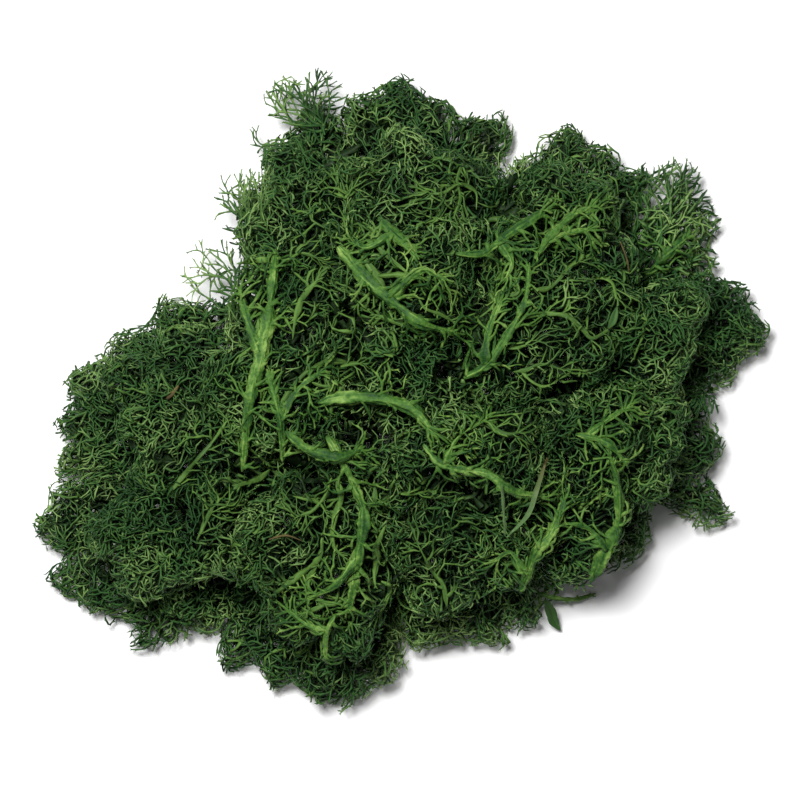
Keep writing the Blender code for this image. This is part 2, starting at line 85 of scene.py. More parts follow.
# Each stem's (x, y, radius) points, from its thick end, and then its fork's. These are part.py's own points, which
# the packing moved by this much.
CAD_SHIFT = np.array([-0.37, -0.30])
STEMS = {
    "stem_left": [
        [(-30.6, -15.4, 0.7), (-29.2, -2.0, 1.1), (-26.6, 8.4, 1.3), (-25.0, 18.0, 1.0), (-24.0, 28.0, 0.6)],
        [(-26.9, 8.0, 1.1), (-29.2, 14.0, 1.1), (-31.0, 20.6, 0.6)],
    ],
    "stem_left_inner": [
        [(-22.6, -13.6, 0.6), (-23.0, -5.6, 0.9), (-25.0, 3.0, 0.9)],
        [(-22.9, -5.0, 0.8), (-19.6, 0.6, 0.7), (-14.8, 4.4, 0.5)],
    ],
    "stem_bottom": [
        [(-13.8, -8.4, 0.7), (-9.2, -16.8, 1.1), (-6.6, -24.0, 1.3), (-7.8, -33.0, 1.2), (-9.6, -43.0, 0.7)],
        [(-7.8, -32.6, 0.9), (-12.6, -38.0, 0.8), (-18.6, -41.0, 0.5)],
    ],
    "stem_bottom_fork": [
        [(-12.2, -43.6, 0.6), (-14.0, -47.4, 0.8), (-14.2, -52.6, 0.5)],
        [(-13.6, -46.8, 0.7), (-17.6, -46.0, 0.7), (-21.4, -43.0, 0.5)],
    ],
    "stem_dark_bend": [[(-22.0, -7.4, 0.6), (-17.6, -11.0, 1.2), (-11.8, -12.6, 1.2), (-7.4, -11.0, 0.6)]],
    "stem_centre_arch": [
        [(-15.6, -1.8, 0.6), (-10.2, -0.8, 1.1), (-3.0, -1.2, 1.2), (3.2, -3.4, 1.2), (7.0, -7.8, 0.6)],
    ],
    "stem_centre_top": [
        [(-11.6, 28.8, 0.9), (-7.0, 23.4, 1.2), (-1.4, 18.4, 1.3), (4.8, 13.8, 1.2), (11.4, 12.0, 0.6)],
        [(-1.8, 18.8, 0.9), (4.6, 24.0, 0.8), (8.6, 22.4, 0.5)],
    ],
    "stem_top": [
        [(-3.8, 34.6, 0.6), (-1.4, 31.8, 1.1), (3.0, 28.2, 0.7)],
        [(-1.0, 31.2, 0.8), (-5.8, 28.6, 0.7), (-9.0, 29.6, 0.4)],
    ],
    "stem_upper_bough": [
        [(11.4, 27.4, 0.6), (16.8, 27.6, 0.8), (20.4, 30.4, 1.0), (25.4, 33.6, 1.0), (29.4, 36.2, 0.5)],
        [(20.0, 30.0, 0.7), (22.4, 25.8, 0.5), (21.4, 22.6, 0.4)],
    ],
    "stem_upper_right": [
        [(27.0, 26.4, 0.7), (30.4, 31.0, 1.2), (34.2, 34.8, 1.0), (39.0, 37.2, 0.5)],
        [(29.6, 30.0, 0.8), (33.8, 31.6, 0.7), (38.4, 32.4, 0.4)],
    ],
    "stem_far_right": [[(49.2, 23.4, 0.6), (53.6, 27.6, 1.0), (58.2, 31.6, 0.6)]],
    "stem_right_pair": [
        [(13.0, 3.0, 0.8), (17.4, 5.6, 0.9), (21.6, 11.4, 0.9), (25.0, 18.4, 0.8), (25.8, 25.0, 0.5)],
        [(17.0, 5.4, 0.8), (17.8, 12.0, 0.8), (20.4, 18.4, 0.5)],
    ],
    "stem_right_middle": [
        [(35.0, -8.0, 0.6), (41.0, -9.6, 0.8), (45.0, -13.8, 0.5)],
        [(37.0, -8.4, 0.6), (42.2, -4.6, 0.6), (45.6, -2.6, 0.4)],
    ],
    "stem_centre_right": [
        [(5.0, -10.0, 0.6), (9.0, -14.2, 0.9), (17.0, -15.6, 0.8), (23.2, -19.4, 1.0), (28.6, -20.2, 0.6)],
        [(9.2, -13.8, 0.7), (12.0, -8.6, 0.6), (18.4, -4.4, 0.4)],
    ],
    "stem_lower_right": [
        [(38.2, -37.8, 0.7), (40.6, -33.0, 1.2), (43.6, -26.0, 1.2), (43.4, -18.0, 0.8), (41.6, -11.8, 0.5)],
        [(41.4, -31.0, 0.8), (37.6, -26.6, 0.6), (31.4, -25.6, 0.4)],
    ],
    "stem_lower_centre": [
        [(24.2, -39.6, 0.6), (27.2, -31.8, 1.0), (30.6, -27.2, 1.0), (33.0, -20.4, 0.5)],
        [(25.6, -36.0, 0.6), (22.4, -31.4, 0.5), (19.0, -33.2, 0.4)],
    ],
}
STEM_STEP = 0.6
STEM_SIDES = 20
STEM_FLATNESS = 0.70
# A stem sinks this far among the branchlets that it lies on.
NESTLING = 0.55
TWIG_SPACING = 2.3
TWIG_HABIT = {
    "forks": 5, "steps": 2, "internode": 2.1, "shortening": 0.86, "radius": 0.28, "thinning": 0.84,
    "angle": 36.0, "curl": 0.26, "wander": 0.18, "outward": 0.2, "flow": 0.15, "flat": 1.4, "lying": 0.3,
    "level": -0.4, "unevenness": 0.4, "slack": 3.2, "settle": 0.6, "press": 1.0, "web": 0.6,
}
# Half way between two forks a branch is narrower by this share.
WAIST = 0.82

# The joints of branches are no denser than one to a cell of this size. Cells are tall, so that few branches lie
# over one another.
CELL = (0.75, 0.75, 1.4)


def unit(vectors):
    return vectors / np.maximum(np.linalg.norm(vectors, axis=-1, keepdims=True), 1e-9)


def along(vectors, others):
    """The dot product of each row, as a column."""
    return (vectors * others).sum(axis=-1, keepdims=True)


def solid_of(*names):
    """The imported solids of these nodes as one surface."""
    corners, faces = [], []
    for name in names:
        mesh = frame["nodes"][name].data
        first = len(corners)
        corners += [vert.co / MM for vert in mesh.vertices]
        faces += [[first + corner for corner in face.vertices] for face in mesh.polygons]
    return BVHTree.FromPolygons(corners, faces)


every_tuft = solid_of(*[name for name in frame["nodes"] if name.startswith(("tuft_", "sprig_"))])


def depth_in(solid, places):
    """How deep each place lies under the solid's surface, and which way is out."""
    spots = np.empty((len(places), 3))
    outs = np.empty((len(places), 3))
    for k, place in enumerate(places.tolist()):
        spots[k], outs[k], _, _ = solid.find_nearest(place)
    gap = spots - places
    depth = np.linalg.norm(gap, axis=1) * np.where(along(gap, outs)[:, 0] < 0.0, -1.0, 1.0)
    return depth, outs


class Room:
    """Counts the joints in each small cell of space, so that branches spread out evenly."""

    def __init__(self, cell):
        self.cell = np.array(cell)
        self.low = np.array(cad_box[0]) / MM - 3.0
        self.shape = np.ceil((np.array(cad_box[1]) / MM + 3.0 - self.low) / self.cell).astype(int)
        self.held = np.zeros(self.shape.prod(), np.int32)

    def cells_of(self, places):
        cells = np.clip(((places - self.low) / self.cell).astype(int), 0, self.shape - 1)
        return np.ravel_multi_index(cells.T, self.shape)

    def admit(self, places, random):
        """Which places still find room. Those that do are counted."""
        cells = self.cells_of(places)
        order = random.permutation(len(cells))
        order = order[np.argsort(cells[order], kind="stable")]
        line = cells[order]
        starts = np.maximum.accumulate(np.where(np.r_[True, line[1:] != line[:-1]], np.arange(len(line)), 0))
        fits = self.held[line] + np.arange(len(line)) - starts < 1
        admitted = np.zeros(len(cells), bool)
        admitted[order[fits]] = True
        np.add.at(self.held, line[fits], 1)
        return admitted

    def close(self, places):
        """Keeps branches out of these places."""
        self.held[self.cells_of(places)] = 1


room = Room(CELL)


class Growth:
    """Branches as joints, each with the joint that it grew from, or -1 at a root."""

    MOST = 160000

    def __init__(self):
        self.count = 0
        self.place = np.zeros((self.MOST, 3))
        self.heading = np.zeros((self.MOST, 3))
        self.side = np.zeros((self.MOST, 3))
        self.web = np.zeros((self.MOST, 3))
        self.radius = np.zeros(self.MOST)
        self.marks = np.zeros((self.MOST, 3))
        self.parent = np.full(self.MOST, -1)

    def plant(self, place, heading, radius, age=0.0, tint=0.5):
        root = self.count
        self.count += 1
        self.place[root] = place
        self.heading[root] = unit(np.array(heading, float))
        self.side[root] = unit(np.cross(self.heading[root], [0.31, 0.95, 0.07]))
        self.radius[root] = radius
        self.marks[root] = age, tint, 0.0
        return root

    def add(self, parents, places, headings, radii, ages, tints):
        made = np.arange(self.count, self.count + len(places))
        self.count += len(places)
        side = self.side[parents]
        self.place[made] = places
        self.heading[made] = headings
        self.side[made] = unit(side - along(side, headings) * headings)
        self.radius[made] = radii
        self.marks[made, 0] = ages
        self.marks[made, 1] = tints
        self.parent[made] = parents
        return made

    def childless(self):
        ends = np.ones(self.count, bool)
        ends[self.parent[: self.count][self.parent[: self.count] >= 0]] = False
        return np.flatnonzero(ends & (self.parent[: self.count] >= 0))


def grow_fans(growth, ends, flows, solid, habit, room, random, vigour=None):
    """Lets each end grow on and fork, until it reaches the solid's surface, has forked enough or is crowded."""
    depth, outs = depth_in(solid, growth.place[ends])
    twigs = {
        "joint": np.array(ends),
        "heading": growth.heading[ends],
        "flow": flows,
        "depth": depth,
        "out": outs,
        "tint": random.random(len(ends)),
        "vigour": np.full(len(ends), habit["forks"]) if vigour is None else vigour,
        "level": habit["level"] + random.normal(0.0, habit["unevenness"], len(ends)),
    }
    for fork in range(habit["forks"]):
        more = twigs["vigour"] > fork
        twigs = {key: values[more] for key, values in twigs.items()}
        heading = twigs["heading"]
        # The two twigs of a fork part in a plane that lies along the surface, or lies flat, rather than across it.
        across = unit(twigs["out"] * (1.0 - habit["lying"]) + UP * habit["lying"])
        fan = unit(np.cross(heading, across) * habit["flat"] + random.normal(0.0, 1.0, heading.shape))
        fan = unit(fan - along(fan, heading) * heading)
        growth.web[twigs["joint"]] = fan * math.sqrt(habit["web"])
        wide = np.radians(habit["angle"]) * random.uniform(0.7, 1.7, (len(heading), 1))
        narrow = np.radians(habit["angle"]) * random.uniform(0.2, 1.0, (len(heading), 1))
        twigs = {key: np.concatenate([values, values]) for key, values in twigs.items()}
        twigs["heading"] = np.concatenate([
            heading * np.cos(wide) + fan * np.sin(wide),
            heading * np.cos(narrow) - fan * np.sin(narrow),
        ])
        count = len(twigs["joint"])
        twigs["bend"] = unit(np.cross(twigs["heading"], random.normal(0.0, 1.0, (count, 3)))) * habit["curl"]
        length = habit["internode"] * habit["shortening"] ** fork / habit["steps"]
        twigs["length"] = length * random.uniform(0.65, 1.4, (count, 1))
        for step in range(habit["steps"]):
            count = len(twigs["joint"])
            if not count:
                return
            grown = fork + step / habit["steps"]
            over = (twigs["depth"] - twigs["level"])[:, None]
            out = twigs["out"]
            heading = twigs["heading"] + twigs["bend"] + random.normal(0.0, habit["wander"], (count, 3))
            heading += twigs["flow"] * habit["flow"]
            heading += out * habit["outward"] * np.clip(over / 2.5 - 0.4, 0.0, 1.0)
            heading -= out * habit["settle"] * np.clip(-over / 1.5, 0.0, 1.0)
            rising = np.maximum(along(heading, out), 0.0)
            heading -= out * rising * habit["press"] * np.clip(1.0 - over / 1.2, 0.0, 1.4)
            twigs["heading"] = unit(heading)
            places = growth.place[twigs["joint"]] + twigs["heading"] * twigs["length"]
            twigs["depth"], twigs["out"] = depth_in(solid, places)
            grows = (twigs["depth"] - twigs["level"] > -habit["slack"]) & (places[:, 2] > 0.4)
            grows[grows] = room.admit(places[grows], random)
            twigs = {key: values[grows] for key, values in twigs.items()}
            radius = habit["radius"] * habit["thinning"] ** grown * random.uniform(0.88, 1.12, grows.sum())
            radius = radius if step == habit["steps"] - 1 else radius * WAIST
            tint = np.clip(twigs["tint"] + random.normal(0.0, 0.14, grows.sum()), 0.0, 1.0)
            twigs["joint"] = growth.add(
                twigs["joint"], places[grows], twigs["heading"], radius, (grown + 1.0) / (habit["forks"] + 1.0), tint
            )
        del twigs["bend"], twigs["length"]


def add_thorns(growth, random, first=0, length=0.55):
    """Ends every branchlet in one to three short thorns, and sets one on many a bend. Returns the joints before."""
    bodies = growth.count
    ends = growth.childless()
    ends = ends[ends >= first]
    count = random.choice([1, 2, 3], len(ends), p=[0.2, 0.55, 0.25])
    parents = np.repeat(ends, count)
    turn = np.repeat(random.uniform(0.0, 2.0 * math.pi, len(ends)), count)
    place_in_star = np.arange(len(parents)) - np.repeat(np.cumsum(count) - count, count)
    turn = turn + 2.0 * math.pi * place_in_star / np.repeat(count, count) + random.uniform(-0.5, 0.5, len(parents))
    angle = np.radians(random.uniform(15.0, 52.0, len(parents)))
    bends = np.arange(first, bodies)
    children = np.bincount(growth.parent[:bodies][growth.parent[:bodies] >= 0], minlength=bodies)
    bends = bends[(children[first:] == 1) & (growth.marks[first:bodies, 0] > 0.2)]
    bends = bends[random.random(len(bends)) < 0.45]
    parents = np.concatenate([parents, bends])
    turn = np.concatenate([turn, random.uniform(0.0, 2.0 * math.pi, len(bends))])
    angle = np.concatenate([angle, np.radians(random.uniform(50.0, 85.0, len(bends)))])
    heading, side = growth.heading[parents], growth.side[parents]
    aside = side * np.cos(turn)[:, None] + np.cross(heading, side) * np.sin(turn)[:, None]
    point = heading * np.cos(angle)[:, None] + aside * np.sin(angle)[:, None]
    places = growth.place[parents] + point * length * random.uniform(0.6, 1.4, (len(parents), 1))
    free = places[:, 2] > 0.1
    # A thorn's age is 1, so the lichen's finish paints it palest, as the painted highlight of a tip.
    growth.add(parents[free], places[free], point[free], 0.0, 1.0, growth.marks[parents[free], 1])
    return bodies


class Shell:
    """The corners and faces of one piece, with each corner's age, tint and deep mark: the share of painted shade
    that the lichen's finish gives it.
    """

    def __init__(self):
        self.count = 0
        self.corners, self.marks, self.quads, self.triangles = [], [], [], []

    def add(self, corners, marks, quads, triangles):
        self.corners.append(corners)
        self.marks.append(marks)
        self.quads.append(quads + self.count)
        self.triangles.append(triangles + self.count)
        self.count += len(corners)

    def add_branches(self, growth, bodies, sides=3):
        """A tube of so many sides round every branch, closed at its root, and a cone for every thorn."""
        side, web = growth.side[:bodies], growth.web[:bodies]
        other = np.cross(growth.heading[:bodies], side)
        rings = []
        for turn in np.arange(sides) * 2.0 * math.pi / sides:
            out = side * math.cos(turn) + other * math.sin(turn)
            out = out + web * along(out, web)
            rings.append(growth.place[:bodies] + growth.radius[:bodies, None] * out)
        corners = np.concatenate([np.stack(rings, axis=1).reshape(-1, 3), growth.place[bodies : growth.count]])
        marks = np.concatenate([np.repeat(growth.marks[:bodies], sides, axis=0), growth.marks[bodies : growth.count]])
        tubes = np.flatnonzero(growth.parent[:bodies] >= 0)
        low, high = growth.parent[tubes] * sides, tubes * sides
        quads = [
            np.stack([low + k, low + (k + 1) % sides, high + (k + 1) % sides, high + k], axis=1) for k in range(sides)
        ]
        thorns = np.arange(bodies, growth.count)
        low, tip = growth.parent[thorns] * sides, sides * bodies + thorns - bodies
        cones = [np.stack([low + k, low + (k + 1) % sides, tip], axis=1) for k in range(sides)]
        roots = np.flatnonzero(growth.parent[:bodies] < 0) * sides
        caps = [np.stack([roots, roots + k + 1, roots + k], axis=1) for k in range(1, sides - 1)]
        self.add(corners, marks, np.concatenate(quads), np.concatenate([*cones, *caps]))

    def add_loft(self, rings, marks):
        """A skin over rings of corners, closed at both ends."""
        count, sides = rings.shape[:2]
        ends = np.stack([rings[0].mean(axis=0), rings[-1].mean(axis=0)])
        end_marks = np.stack([marks[0].mean(axis=0), marks[-1].mean(axis=0)])
        k = np.arange(sides)
        first = np.arange(count - 1)[:, None] * sides
        quads = np.stack([first + k, first + (k + 1) % sides, first + sides + (k + 1) % sides, first + sides + k], -1)
        last = (count - 1) * sides
        start = np.stack([(k + 1) % sides, k, np.full(sides, count * sides)], axis=1)
        finish = np.stack([last + k, last + (k + 1) % sides, np.full(sides, count * sides + 1)], axis=1)
        corners = np.concatenate([rings.reshape(-1, 3), ends])
        marks = np.concatenate([marks.reshape(-1, 3), end_marks])
        self.add(corners, marks, quads.reshape(-1, 4), np.concatenate([start, finish]))

    def stand_for(self, name, finish, slot):
        """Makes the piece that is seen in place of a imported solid."""
        corners = np.concatenate(self.corners) * MM
        quads = np.concatenate(self.quads)
        triangles = np.concatenate(self.triangles)
        mesh = bpy.data.meshes.new(name + "_detail")
        mesh.vertices.add(len(corners))
        mesh.vertices.foreach_set("co", corners.astype(np.float32).ravel())
        loops = np.concatenate([quads.ravel(), triangles.ravel()]).astype(np.int32)
        mesh.loops.add(len(loops))
        mesh.loops.foreach_set("vertex_index", loops)
        starts = np.concatenate([np.arange(len(quads)) * 4, 4 * len(quads) + np.arange(len(triangles)) * 3])
        mesh.polygons.add(len(starts))
        mesh.polygons.foreach_set("loop_start", starts.astype(np.int32))
        mesh.update(calc_edges=True)
        mesh.shade_smooth()
        marks = np.concatenate(self.marks).astype(np.float32)
        for column, mark in enumerate(("age", "tint", "deep")):
            mesh.attributes.new(mark, "FLOAT", "POINT").data.foreach_set("value", marks[:, column].copy())
        mesh.materials.append(finish)
        piece = bpy.data.objects.new(name + "_detail", mesh)
        bpy.context.scene.collection.objects.link(piece)
        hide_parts(name)
        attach(piece, "root")


def smoothed(values, reach):
    """A running mean along the first axis, over this many values to each side."""
    padded = np.concatenate([values[:1].repeat(reach, axis=0), values, values[-1:].repeat(reach, axis=0)])
    return sum(padded[k : k + len(values)] for k in range(2 * reach + 1)) / (2 * reach + 1)


def spine_on(solid, knots, step, flatness=1.0, sunk=0.0):
    """Middle points along a smooth curve through the knots, just under the solid's top face, and their radii."""
    knots = np.array(knots, float)
    knots[:, :2] += CAD_SHIFT
    ends = np.concatenate([2 * knots[:1] - knots[1:2], knots, 2 * knots[-1:] - knots[-2:-1]])
    spots = []
    for k in range(len(knots) - 1):
        before, start, stop, after = ends[k : k + 4]
        steps = max(2, round(np.linalg.norm(stop[:2] - start[:2]) / step))
        for t in np.arange(steps) / steps:
            pull = (stop - before) * t + (2 * before - 5 * start + 4 * stop - after) * t * t
            spots.append(start + 0.5 * (pull + (3 * start - before - 3 * stop + after) * t**3))
    spots = np.array([*spots, knots[-1]])
    heights = []
    for x, y, _ in spots:
        hit = solid.ray_cast(Vector((x, y, 90.0)), Vector((0, 0, -1)))[0]
        heights.append((hit or solid.find_nearest((x, y, 90.0))[0]).z)
    heights = smoothed(np.array(heights), 2)
    radii = np.maximum(spots[:, 2], 0.15)
    return np.column_stack([spots[:, :2], heights - radii * flatness - sunk]), radii


def ways_of(spine):
    """At each point of a curve, the way along it, the way to its side and the way up from it."""
    heading = unit(np.gradient(spine, axis=0))
    side = unit(np.cross(heading, UP))
    return heading, side, np.cross(side, heading)


def add_stem(
    shell, spine, radii, random, flatness=STEM_FLATNESS, ridges=6, whole_start=False, sides=STEM_SIDES, age=0.6
):
    """A flattened stem of strands that grew together: its ridges wander, and its free ends taper. Its ridges and
    bulges are painted paler and its grooves darker, as painted highlight and painted shade.
    """
    count = len(spine)
    turns = np.arange(sides) * 2.0 * math.pi / sides
    tops = random.uniform(0.0, 6.3, ridges) + np.cumsum(random.normal(0.0, 0.07, (count, ridges)), axis=0)
    apart = np.abs((turns[:, None] - tops[:, None] + math.pi) % (2.0 * math.pi) - math.pi)
    ridge = np.exp(-((apart / 0.24) ** 2)).max(axis=2)
    rough = smoothed(random.normal(0.0, 0.20, (count, sides)), 1)
    width = radii * (1.0 + smoothed(random.normal(0.0, 0.42, count), 2))
    from_end = np.arange(count)[::-1] if whole_start else np.minimum(np.arange(count), np.arange(count)[::-1])
    width = width * np.interp(from_end, [0, 1, 2, 3], [0.45, 0.72, 0.92, 1.0])
    _, side, up = ways_of(spine)
    out = side[:, None] * np.cos(turns)[:, None] + up[:, None] * np.sin(turns)[:, None] * flatness
    rings = spine[:, None] + out * (width[:, None] * (0.66 + 0.42 * ridge + rough))[..., None]
    streaks = smoothed(random.normal(0.0, 0.6, (count, sides)), 3) + random.uniform(-0.25, 0.25, sides)
    blotches = smoothed(random.normal(0.0, 1.0, (count, 1)), 4)
    marks = np.zeros((count, sides, 3))
    marks[..., 0] = age
    # Tint: own streaks and blotches, plus painted highlight on ridges and bulges and painted shade in grooves.
    marks[..., 1] = np.clip(0.34 + 0.25 * ridge + streaks * 0.8 + blotches * 0.45 + rough, 0.0, 1.0)
    shell.add_loft(rings, marks)


def close_round(spine, radii):
    """Keeps branchlets out of the space that a stem or a scrap fills."""
    for turn in np.arange(6) * math.pi / 3.0:
        for share in (0.0, 0.5, 1.0):
            reach = (radii * share)[:, None]
            room.close(spine + reach * [math.cos(turn), math.sin(turn), 0.0])
            room.close(spine + reach * [math.cos(turn), math.sin(turn), 0.0] + UP * 0.7)


def add_twigs(growth, spine, radii, spacing, random):
    """Stubs along both sides of a stem and at its thin end. Returns the joints that may grow on."""
    heading, side, up = ways_of(spine)
    step = np.linalg.norm(spine[1] - spine[0])
    stubs = []
    at = random.uniform(0.3, 1.0) * spacing
    hand = random.choice([-1.0, 1.0])
    while at < step * (len(spine) - 2):
        k = int(at / step)
        angle = math.radians(random.uniform(24.0, 75.0))
        way = heading[k] * math.cos(angle) + side[k] * hand * math.sin(angle) + up[k] * random.uniform(-0.2, 0.6)
        stubs.append((k, unit(way)))
        at += spacing * random.uniform(0.5, 1.5)
        hand = -hand if random.random() < 0.75 else hand
    for back, turn in ((2, -0.9), (1, -0.4), (1, 0.05), (1, 0.5), (3, 0.9)):
        way = heading[-1] + side[-1] * (turn + random.uniform(-0.2, 0.2)) + up[-1] * random.uniform(-0.3, 0.1)
        stubs.append((len(spine) - 1 - back, unit(way)))
    ends = []
    for k, way in stubs:
        thick = min(0.36, 0.45 * radii[k]) * random.uniform(0.6, 1.1)
        root = growth.plant(spine[k] - UP * radii[k] * 0.1, way, min(radii[k] * 0.6, thick * 1.8), 0.4, 0.6)
        reach = 0.85 * radii[k] + random.uniform(0.1, 0.9)
        ends += list(growth.add([root], [spine[k] + way * reach], [way], thick, 0.4, 0.6))
    return np.array(ends)


class Field:
    """A value that varies over a surface. It wraps a node's output socket, and arithmetic on it adds Math nodes."""

    def __init__(self, socket):
        self.socket = socket
        self.tree = socket.id_data

    def maths(self, operation, first, second):
        return node(self.tree, "ShaderNodeMath", {"operation": operation}, {0: first, 1: second})

    def __add__(self, other):
        return self.maths("ADD", self, other)

    def __sub__(self, other):
        return self.maths("SUBTRACT", self, other)

    def __rsub__(self, other):
        return self.maths("SUBTRACT", other, self)

    def __mul__(self, other):
        return self.maths("MULTIPLY", self, other)

    def __pow__(self, other):
        return self.maths("POWER", self, other)

    __radd__ = __add__
    __rmul__ = __mul__


def node(tree, kind, settings=None, values=None, output=0):
    """A new node with its settings, then its sockets' values or links. A list of stops sets a ramp."""
    made = tree.nodes.new(kind)
    for name, setting in (settings or {}).items():
        if name == "stops":
            while len(made.color_ramp.elements) < len(setting):
                made.color_ramp.elements.new(0.5)
            for element, (position, colour) in zip(made.color_ramp.elements, setting):
                element.position = position
                element.color = colour
        else:
            setattr(made, name, setting)
    for name, value in (values or {}).items():
        if isinstance(value, Field):
            tree.links.new(value.socket, made.inputs[name])
        else:
            made.inputs[name].default_value = value
    return Field(made.outputs[output])


def mixed(tree, share, first, second):
    """From the first colour to the second, by share."""
    settings = {"data_type": "RGBA", "blend_type": "MIX", "clamp_factor": True}
    return node(tree, "ShaderNodeMix", settings, {0: share, 6: first, 7: second}, output=2)


def tree_of(name):
    """A new material's nodes, and its shader node."""
    material = bpy.data.materials.new(name)
    material.use_nodes = True
    return material, material.node_tree, material.node_tree.nodes["Principled BSDF"]


def lichen_finish(name, colours, young, inner, spread, tip_highlight, patches, patch_scale, grains, bump):
    """Dyed lichen: dark and pale twigs side by side, patches that took more or less dye, and paler stout twigs.
    Branchlets are painted paler towards their tips, as painted highlight, and wood deep under the surface is
    painted towards the inner colour, as painted shade."""
    material, tree, shader = tree_of(name)
    spot = node(tree, "ShaderNodeTexCoord", output="Object")
    age, tint, deep = (
        node(tree, "ShaderNodeAttribute", {"attribute_name": mark}, output="Fac") for mark in ("age", "tint", "deep")
    )
    patch = node(tree, "ShaderNodeTexNoise", None, {"Vector": spot, "Scale": patch_scale, "Detail": 2.0})
    grain = node(tree, "ShaderNodeTexNoise", None, {"Vector": spot, "Scale": 1300.0, "Detail": 3.0})
    # Age rises towards the tips, so this term paints the branchlets paler towards their tips: a painted highlight.
    dye = tint * spread + age * tip_highlight + (patch - 0.5) * patches + (grain - 0.5) * grains
    stops = [(place, (*colour, 1.0)) for place, colour in zip((0.05, 0.5, 0.95), colours)]
    colour = node(tree, "ShaderNodeValToRGB", {"stops": stops}, {"Fac": dye})
    colour = mixed(tree, (1.0 - age) ** 4.0 * (tint * 0.8 + 0.35), colour, (*young, 1.0))
    # Painted shade: by the deep mark, the colour goes to the inner colour, which stands for shade deep in the moss.
    colour = mixed(tree, deep * 0.92, colour, (*inner, 1.0))
    tree.links.new(colour.socket, shader.inputs["Base Color"])
    rough = grain * 0.3 + 0.45
    tree.links.new(rough.socket, shader.inputs["Roughness"])
    uneven = node(tree, "ShaderNodeBump", None, {"Strength": bump, "Distance": 0.0003, "Height": grain})
    tree.links.new(uneven.socket, shader.inputs["Normal"])
    shader.inputs["Specular IOR Level"].default_value = 0.2
    return material


stem_green = lichen_finish(
    "pale stem",
    colours=((0.014, 0.056, 0.010), (0.062, 0.155, 0.022), (0.215, 0.350, 0.078)),
    young=(0.055, 0.128, 0.022),
    # The inner colour is painted shade.
    inner=(0.030, 0.045, 0.015),
    spread=0.75,
    tip_highlight=0.1,
    patches=0.9,
    patch_scale=220.0,
    grains=0.9,
    bump=1.0,
)


def grow_stem(name, paths, seed, spacing=TWIG_SPACING):
    """A stem with its forks, and the twigs along them."""
    random = np.random.default_rng(seed)
    solid = solid_of(name)
    shell, growth = Shell(), Growth()
    bodies, ends = [], []
    for number, knots in enumerate(paths):
        spine, radii = spine_on(solid, knots, STEM_STEP, STEM_FLATNESS, NESTLING)
        if number:
            # A web of lichen fills the fork, so the branch is widest just after it leaves the stem.
            radii = radii * (0.9 + 0.5 * np.exp(-(((np.arange(len(radii)) - 3.0) / 1.8) ** 2)))
        add_stem(shell, spine, radii, random, whole_start=number > 0)
        bodies.append((spine, radii))
        ends.append(add_twigs(growth, spine, radii, spacing, random))
    ends = np.concatenate(ends)
    vigour = random.choice([1, 2, 3, 4, 5], len(ends), p=[0.20, 0.22, 0.22, 0.20, 0.16])
    grow_fans(growth, ends, growth.heading[ends], every_tuft, TWIG_HABIT, room, random, vigour)
    shell.add_branches(growth, add_thorns(growth, random), sides=5)
    shell.stand_for(name, stem_green, "stem")
    for spine, radii in bodies:
        close_round(spine, radii)


for seed, (name, paths) in enumerate(STEMS.items(), 100):
    grow_stem(name, paths, seed)

# THE CURLED SPRIG
# A thin torn-off branch that hangs out of the clump's lower edge and curls along the ground.

CURLED_SPRIG = [(28.0, -39.8, 0.35), (31.6, -41.0, 0.5), (36.0, -41.2, 0.45), (39.4, -40.4, 0.25)]
grow_stem("curled_sprig", [CURLED_SPRIG], 130, spacing=2.6)

# THE BLADE OF GRASS AND THE STRAW
# Dry grass that was picked up with the moss: a flat blade, folded along its middle rib and torn across at its
# broad end, and a thin straw. Both have gone grey-green, and brown at one end.

GRASS_BLADE = [(29.4, -12.8, 0.18), (27.4, -18.6, 0.48), (25.6, -23.8, 0.45), (21.6, -28.2, 0.12)]
STRAW = [(20.4, -17.8, 0.22), (20.8, -23.0, 0.33), (21.2, -28.0, 0.30)]


def add_blade(shell, spine, widths, random, thickness=0.16, fold=0.35, ribs=9, wither=0.0):
    """A thin leaf or blade with a folded middle and raised ribs. Its age runs from 0 to 1 along it."""
    count = len(spine)
    _, side, up = ways_of(spine)
    across = np.linspace(-1.0, 1.0, ribs)
    edge = 1.0 + smoothed(random.normal(0.0, 0.10, (count, 2)), 1)
    reach = np.where(across < 0.0, edge[:, :1], edge[:, 1:]) * across * widths[:, None]
    rise = np.abs(across) * fold * widths[:, None] + 0.05 * (np.arange(ribs) % 2)
    rise = rise + smoothed(random.normal(0.0, 0.12, (count, 1)), 3) * across
    top = spine[:, None] + side[:, None] * reach[..., None] + up[:, None] * rise[..., None]
    rings = np.concatenate([top, (top - up[:, None] * thickness)[:, ::-1]], axis=1)
    tint = smoothed(random.normal(0.0, 0.35, (count, ribs)), 4) * 1.6 + random.uniform(0.2, 0.8, ribs)
    marks = np.zeros((count, 2 * ribs, 3))
    marks[..., 0] = np.linspace(0.0, 1.0, count)[:, None]
    marks[..., 1] = np.clip(np.concatenate([tint, tint[:, ::-1]], axis=1), 0.0, 1.0)
    marks[..., 2] = wither
    shell.add_loft(rings, marks)


